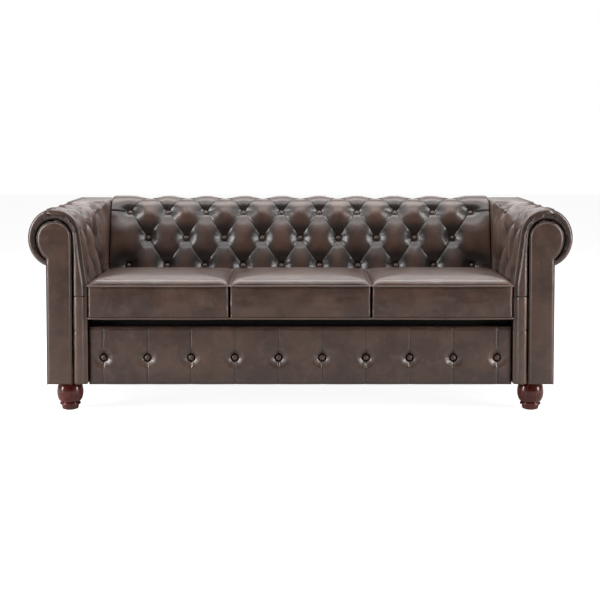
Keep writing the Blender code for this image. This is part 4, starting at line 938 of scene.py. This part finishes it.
def panelFall(inside, across, z, slow, seeds):
    # fall of a stuffed panel: its rounded edge, its belly, and two sizes of unevenness
    drop = edgeDrop(inside, outside["edge"]) * outside["edgeShare"]
    drop -= outside["puff"] * (1 - math.exp(-inside / outside["puffReach"]))
    return drop + (slow[0] * ripple(across * 0.6, z, seeds[0], slow[1])
                   + outside["quick"][0] * ripple(across, z * 0.6, seeds[1], outside["quick"][1]))


def buildOutside():
    low, step = sofa["under"], outside["step"]
    front, rear, half = sofa["front"] + outside["armFront"], sofa["armRear"], sofa["backHalf"]
    for name, side in sides.items():
        def place(y, z):
            inside = min(y - front, rear - y, z - low)
            drop = panelFall(inside, y, z, outside["slowArm"], (side * 4.0, side * 2.0))
            return Vector((side * (sofa["armOuter"] - drop), y, z)), Vector((side, 0.0, 0.0)), 0.0

        bm = leatherSheet(evenSteps(front, rear, step), evenSteps(low, outside["armTop"], step), place)
        addPiece(f"outsideArmLeather.{name}", bm, [f"outside_arm_panel_{name}"], outside["shell"])

    def placeBack(x, z):
        drop = panelFall(min(half - abs(x), z - low), x, z, outside["slowBack"], (7.0, 3.0))
        wearAndShading = 0.0
        for seam in outside["backSeams"]:
            line = math.exp(-abs(x - seam) / outside["seamReach"])
            drop += outside["seamDepth"] * line
            wearAndShading -= outside["seamDarkening"] * line
        return Vector((x, outside["backY"] - drop, z)), Vector((0.0, 1.0, 0.0)), wearAndShading

    first, second = outside["backSeams"]
    columns = evenSteps(-half, first, step)[:-1] + evenSteps(first, second, step)[:-1]
    columns += evenSteps(second, half, step)
    bm = leatherSheet(columns, evenSteps(low, outside["backTop"], step), placeBack)
    addPiece("outsideBackLeather", bm, ["outside_back_panel"], outside["shell"])
    print("outside leather hung")


# front border: a nearly flat pad, a fine pleat through each button
border = {
    "half": 0.7990, "low": 0.0995, "top": 0.324, "face": -0.3873, "buttons": 10, "parts": 60, "step": 0.003,
    "pitch": 0.165, "buttonHeight": 0.202, "buttonOut": 0.0045, "round": 0.017, "puff": 0.0022, "shell": 0.004,
    "pleatDepth": 0.0022, "pleatReach": 0.0022, "lap": 0.0012, "lapReach": 0.010,
    "wander": 0.0016, "wanderMm": 45, "wanderFrom": 0.03, "unevenDepth": 0.0009, "unevenMm": 70,
    "pitDepth": 0.0145, "pitReach": 0.0270, "pitSlope": 1.35,
    "streakDepth": 0.0009, "streakAt": 0.026, "streakReach": 0.018, "streakCount": 3.0,
}
# painted shade in the pleats, wells and streaks, at the ends, and towards the bottom
borderShade = {"pleat": 0.6, "well": 1.2, "streak": 0.25, "end": 0.9, "endReach": 0.004, "low": 0.24,
              "lowFrom": 0.02, "lowOver": 0.06}


def buildBorder():
    pitch, count, half, middle = border["pitch"], border["buttons"], border["half"], border["buttonHeight"]
    first = -pitch * (count - 1) / 2
    across = latticeSteps(-half, first, pitch, count - 1, border["parts"], half)
    along = evenSteps(border["low"], middle, border["step"])
    along += evenSteps(middle, border["top"], border["step"])[1:]

    def place(x, z):
        spot = (x - first) / pitch
        near = min(max(round(spot), 0), count - 1)
        offX, offZ = x - first - near * pitch, z - middle
        wander = border["wander"] * ripple(near * 3.3, z, 1.0, border["wanderMm"])
        offPleat = offX - wander * min(1.0, abs(offZ) / border["wanderFrom"])
        pleat = math.exp(-abs(offPleat) / border["pleatReach"])
        reach, turn = math.hypot(offX, offZ), math.atan2(offZ, offX)
        pit = max(0.0, 1 - max(0.0, reach - button["radius"]) / border["pitReach"]) ** border["pitSlope"]
        well = wellAt(reach)
        lap = math.copysign(math.exp(-abs(offPleat) / border["lapReach"]), offPleat) * (1 - pit)
        streak = streakAt(reach, turn, near * 5.7, border)
        belly = math.sqrt(abs(math.sin(math.pi * min(max(spot, -0.5), count - 0.5))))
        drop = border["puff"] * (1 - belly) + border["pleatDepth"] * pleat + border["pitDepth"] * pit
        drop += button["wellDepth"] * well + border["lap"] * lap * (1 if near % 2 else -1)
        drop += border["streakDepth"] * streak + border["unevenDepth"] * ripple(x, z, 2.0, border["unevenMm"])
        drop += edgeDrop(min(z - border["low"], border["top"] - z, half - abs(x)), border["round"])
        # painted shade in the pleats, wells and streaks, at the ends, and darker towards the bottom
        wearAndShading = -borderShade["pleat"] * pleat - borderShade["well"] * well - borderShade["streak"] * streak
        wearAndShading -= borderShade["end"] * math.exp((abs(x) - half) / borderShade["endReach"])
        wearAndShading -= borderShade["low"] * smooth((middle - borderShade["lowFrom"] - z) / borderShade["lowOver"])
        return Vector((x, border["face"] + drop, z)), Vector((0.0, -1.0, 0.0)), wearAndShading

    addPiece("borderLeather", leatherSheet(across, along, place), ["front_border"], border["shell"])
    spots = []
    for number in range(count):
        point, direction = place(first + pitch * number, middle)[:2]
        spots.append((point + direction * border["buttonOut"], direction))
    addPiece("borderButtons", buttonDomes(spots), [f"front_button_{number + 1:02d}" for number in range(count)])
    print("front border:", len(spots), "buttons")


# seat cushions: box cushions with piped edges, stuffed by a cloth simulation
cushion = {
    "cuts": (52, 54, 12), "spacing": 0.4, "crownFront": 0.026, "crownRear": 0.016, "frontTurn": 0.040,
    "sideTurn": 0.045, "rearTurn": 0.14, "belly": 0.0015, "corner": 0.0038, "cornerPower": 50,
    "unevenDepth": 0.0010, "unevenMm": 260, "hang": 0.008,
    "seamDepth": 0.0012, "seamMm": 150,
    "puckerDepth": 0.0018, "puckerReach": 0.035, "puckerMm": 9, "seamDarkening": -0.5, "crownWear": 0.25,
    "piping": 0.0030, "pipingOut": 0.0040, "pipingHighlight": 0.9, "frontRoom": 0.006, "heldBand": 0.002,
    "pressure": 0.35, "frames": 20, "cap": 0.022, "slack": -0.001, "gather": 0.001, "stretch": 40, "bend": 10.0,
}
atEdge = 0.999  # a share of the half size that counts as on the edge


def turnOver(distance, reach):
    # share of the full height at a distance in from an edge that turns over in a quarter round
    return math.sqrt(1 - (1 - min(max(distance, 0.0) / reach, 1.0)) ** 2)


def cushionMesh(name, low, high, seed):
    middle, half = (low + high) / 2, (high - low) / 2
    half.z = (sofa["seat"] - sofa["cushionUnder"]) / 2
    middle.z = (sofa["seat"] + sofa["cushionUnder"]) / 2
    spread, crown = 1.0 - cushion["belly"] / half.x, cushion["crownFront"]
    bm = bmesh.new()
    bmesh.ops.create_cube(bm, size=2.0)
    for axis, cuts in enumerate(cushion["cuts"]):
        edges = [edge for edge in bm.edges if abs(edge.verts[0].co[axis] - edge.verts[1].co[axis]) > 0.5]
        bmesh.ops.subdivide_edges(bm, edges=edges, cuts=cuts, use_grid_fill=True)
    wearAndShading = bm.verts.layers.float.new("wearAndShading")
    seams = {"top": [], "under": []}
    for vert in bm.verts:
        x, y = (cushion["spacing"] * share + (1 - cushion["spacing"]) * math.sin(math.pi / 2 * share)
                for share in vert.co.xy)  # closer near the edges
        z = vert.co.z
        onSide = max(abs(x), abs(y)) > atEdge
        onSeam = onSide and abs(z) > atEdge
        if onSeam:
            seams["top" if z > 0 else "under"].append(vert)
        lift = 0.0
        if z > atEdge:
            depth = crown + (cushion["crownRear"] - crown) * smooth(y * 0.5 + 0.5)
            lift = depth * turnOver((1 - abs(x)) * half.x, cushion["sideTurn"])
            lift *= (turnOver((1 + y) * half.y, cushion["frontTurn"])
                     * turnOver((1 - y) * half.y, cushion["rearTurn"]))
        drawn = cushion["unevenDepth"] * ripple(x * 0.6, y * 0.6, z + seed, cushion["unevenMm"])
        drawnX, drawnY = half.x * spread - drawn, half.y * spread - drawn
        corner = cushion["corner"] * abs(x * y) ** cushion["cornerPower"]
        bulge = cushion["belly"] * (1 - z * z) * (1 - (x if abs(y) > atEdge else y) ** 4) if onSide else 0.0
        spot = Vector((middle.x + x * (drawnX - corner) + (bulge * x if abs(x) > atEdge else 0.0),
                       middle.y + y * (drawnY - corner) + (bulge * y if abs(y) > atEdge else 0.0),
                       middle.z + z * half.z + lift))
        if z < -atEdge:
            # the underside hangs a little in front of the deck
            ahead = (sofa["deckFront"] - spot.y) / (sofa["deckFront"] - low.y)
            ahead = max(0.0, math.sin(math.pi * min(max(ahead, 0.0), 1.0)))
            spot.z -= cushion["hang"] * ahead * (1 - abs(x) ** 10)
        if onSeam:
            spot.z += cushion["seamDepth"] * ripple(spot.x, spot.y, z * 3.0 + seed, cushion["seamMm"])
        if y < -atEdge and abs(z) < atEdge:
            # upright puckers where the boxing turns the corner
            near = math.exp(-(1 - abs(x)) * half.x / cushion["puckerReach"])
            spot.y += cushion["puckerDepth"] * near * ripple(spot.x + 0.25 * x * spot.z, spot.z * 0.2, seed,
                                                             cushion["puckerMm"])
        vert.co = spot
        # painted shade along the seams under the piping; paler on the crown
        vert[wearAndShading] = cushion["seamDarkening"] if onSeam else cushion["crownWear"] * lift / crown
    bm.verts.index_update()
    order = {key: seamOrder(verts) for key, verts in seams.items()}
    held = [vert.index for vert in bm.verts if vert.co.z < sofa["cushionUnder"] + cushion["heldBand"]]
    return meshFrom(name, bm), order, held


def seamOrder(verts):
    # the indices of a closed seam, walked from vert to vert
    on, line = set(verts), [verts[0]]
    while True:
        ahead = [edge.other_vert(line[-1]) for edge in line[-1].link_edges]
        ahead = [vert for vert in ahead if vert in on and vert not in line[-2:]]
        ahead = [vert for vert in ahead if vert is not line[0] or len(line) == len(on)]
        if not ahead or ahead[0] is line[0] or len(line) >= len(on):
            return [vert.index for vert in line]
        line.append(ahead[0])


def stuffCushion(mesh, order, held):
    # the cover is a little larger than its seams, so that the stuffing pulls folds into it
    piece = bpy.data.objects.new(mesh.name + "Cover", mesh)
    scene.collection.objects.link(piece)
    start = [vert.co.copy() for vert in mesh.vertices]
    seam = list(set(order["top"]) | set(order["under"]))
    piece.vertex_groups.new(name="held").add(held + seam, 1.0, "REPLACE")
    piece.vertex_groups.new(name="gathered").add(seam, 1.0, "REPLACE")
    cloth = piece.modifiers.new("stuffing", "CLOTH")
    settings = {
        "quality": 6, "mass": 0.5, "tension_stiffness": cushion["stretch"],
        "compression_stiffness": cushion["stretch"], "shear_stiffness": cushion["stretch"] / 2,
        "bending_stiffness": cushion["bend"], "use_pressure": True,
        "uniform_pressure_force": cushion["pressure"],
        "vertex_group_mass": "held", "vertex_group_shrink": "gathered", "shrink_min": cushion["slack"],
        "shrink_max": cushion["gather"],
    }
    for name, value in settings.items():
        setattr(cloth.settings, name, value)
    cloth.settings.effector_weights.gravity = 0.0
    cloth.collision_settings.use_collision = False
    for step in range(1, cushion["frames"] + 1):
        scene.frame_set(step)
    blown = bpy.data.meshes.new_from_object(piece.evaluated_get(bpy.context.evaluated_depsgraph_get()))
    for vert, before in zip(blown.vertices, start):
        move = vert.co - before
        if move.length > cushion["cap"]:
            vert.co = before + move * (cushion["cap"] / move.length)
    bpy.data.objects.remove(piece)
    scene.frame_set(1)
    return blown


def buildCushions():
    for number, name in enumerate(("left", "centre", "right")):
        low, high = (Vector(corner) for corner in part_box(f"seat_cushion_{name}"))
        mesh, order, held = cushionMesh(f"seatCushion.{name}", low, high, number * 4.0)
        mesh = stuffCushion(mesh, order, held)
        for vert in mesh.vertices:
            x, y, z = vert.co
            under = sofa["cushionUnder"] - (cushion["hang"] if y < sofa["deckFront"] else 0.0)
            y = min(max(y, low.y - cushion["frontRoom"]), high.y)
            vert.co = (min(max(x, low.x), high.x), y, max(z, under))
        lines = {key: [mesh.vertices[i].co.copy() for i in order[key]] for key in order}
        body = f"cushion_{name}"
        addPiece(f"seatCushion.{name}", mesh, [f"seat_cushion_{name}"], body=body, level=1)
        for key, line in lines.items():
            middle = sum(line, Vector()) / len(line)
            out = [point + (point - middle).normalized() * cushion["pipingOut"] for point in line]
            # the piping is painted paler as a painted highlight
            addTube(f"cushionPiping.{name}.{key}", out, cushion["piping"], True, cushion["pipingHighlight"], body)
        print("cushion", name, "stuffed, verts", len(mesh.vertices))


# turned feet
foot = {"x": 0.876, "y": 0.34, "base": 0.0033, "height": 0.1014, "radius": 0.049, "steps": 56}
# side line of a foot, top to floor: shares of its radius and of its height
footLine = [
    (0.00, 1.00), (0.80, 1.00), (0.875, 0.955), (0.94, 0.885), (0.985, 0.80), (1.01, 0.705), (1.015, 0.61),
    (1.00, 0.52), (0.965, 0.44), (0.91, 0.37), (0.84, 0.315), (0.765, 0.28), (0.70, 0.264), (0.695, 0.252),
    (0.735, 0.243), (0.785, 0.228), (0.805, 0.205), (0.80, 0.182), (0.765, 0.160), (0.69, 0.142),
    (0.645, 0.130), (0.64, 0.115), (0.65, 0.100), (0.645, 0.070), (0.63, 0.040), (0.605, 0.015),
    (0.60, 0.00), (0.00, 0.00),
]


def buildFeet():
    line = [(share * foot["radius"], rise * foot["height"]) for share, rise in footLine]
    for name, side in sides.items():
        for end, y in (("front", -foot["y"]), ("rear", foot["y"])):
            bm = spunFrom(line, foot["steps"])
            bmesh.ops.translate(bm, vec=(side * foot["x"], y, foot["base"]), verts=bm.verts)
            addPiece(f"turnedFoot.{end}.{name}", bm, [f"foot_{end}_{name}"], slot="foot")
    print("feet turned")


# under the cushions and under the seat
deck = {"rear": 0.1497, "top": 0.3547, "round": 0.012}
dust = {"rear": 0.3446, "z": 0.1094, "sag": 0.0018, "step": 0.016, "unevenDepth": 0.0003, "unevenMm": 60,
        "thickness": 0.0008}


def buildUnderside():
    bm = bmesh.new()
    bmesh.ops.create_cube(bm, size=2.0)
    half, front, rear = sofa["deckHalf"], sofa["deckFront"], dust["rear"]
    low, high = Vector((-half, front, sofa["deckUnder"])), Vector((half, deck["rear"], deck["top"]))
    bmesh.ops.scale(bm, vec=(high - low) / 2, verts=bm.verts)
    bmesh.ops.translate(bm, vec=(low + high) / 2, verts=bm.verts)
    bmesh.ops.bevel(bm, geom=list(bm.edges), offset=deck["round"], offset_type="OFFSET", segments=4,
                    profile=0.5, affect="EDGES", material=-1)
    addPiece("seatDeckPad", bm, ["seat_deck"], slot="felt")

    def place(x, y):
        u, v = x / half, (y - front) / (rear - front) * 2 - 1
        sag = dust["sag"] * (1 - u * u) * (1 - v * v)
        sag += dust["unevenDepth"] * ripple(x, y, 0.0, dust["unevenMm"])
        return Vector((x, y, dust["z"] - sag)), Vector((0.0, 0.0, -1.0)), 0.0

    bm = leatherSheet(evenSteps(-half, half, dust["step"]), evenSteps(front, rear, dust["step"]), place)
    piece = addPiece("dustCloth", bm, ["dust_cover"], dust["thickness"], slot="cloth")
    print("deck and dust cloth fitted")


def dressFrame():
    # the timber, wire, card and nylon that stay as the frame has them
    slots = {row["node"]: row["material_slot"] for row in frame["record"]["subparts"]}
    for name, node in frame["nodes"].items():
        for place in node.material_slots:
            place.material = finishes[slots[name]]


buildBack()
for armName, armSide in sides.items():
    buildArm(armName, armSide)
    buildScrolls(armName, armSide)
    buildLowerArm(armName, armSide)
buildOutside()
buildBorder()
buildFeet()
buildUnderside()
dressFrame()
buildCushions()
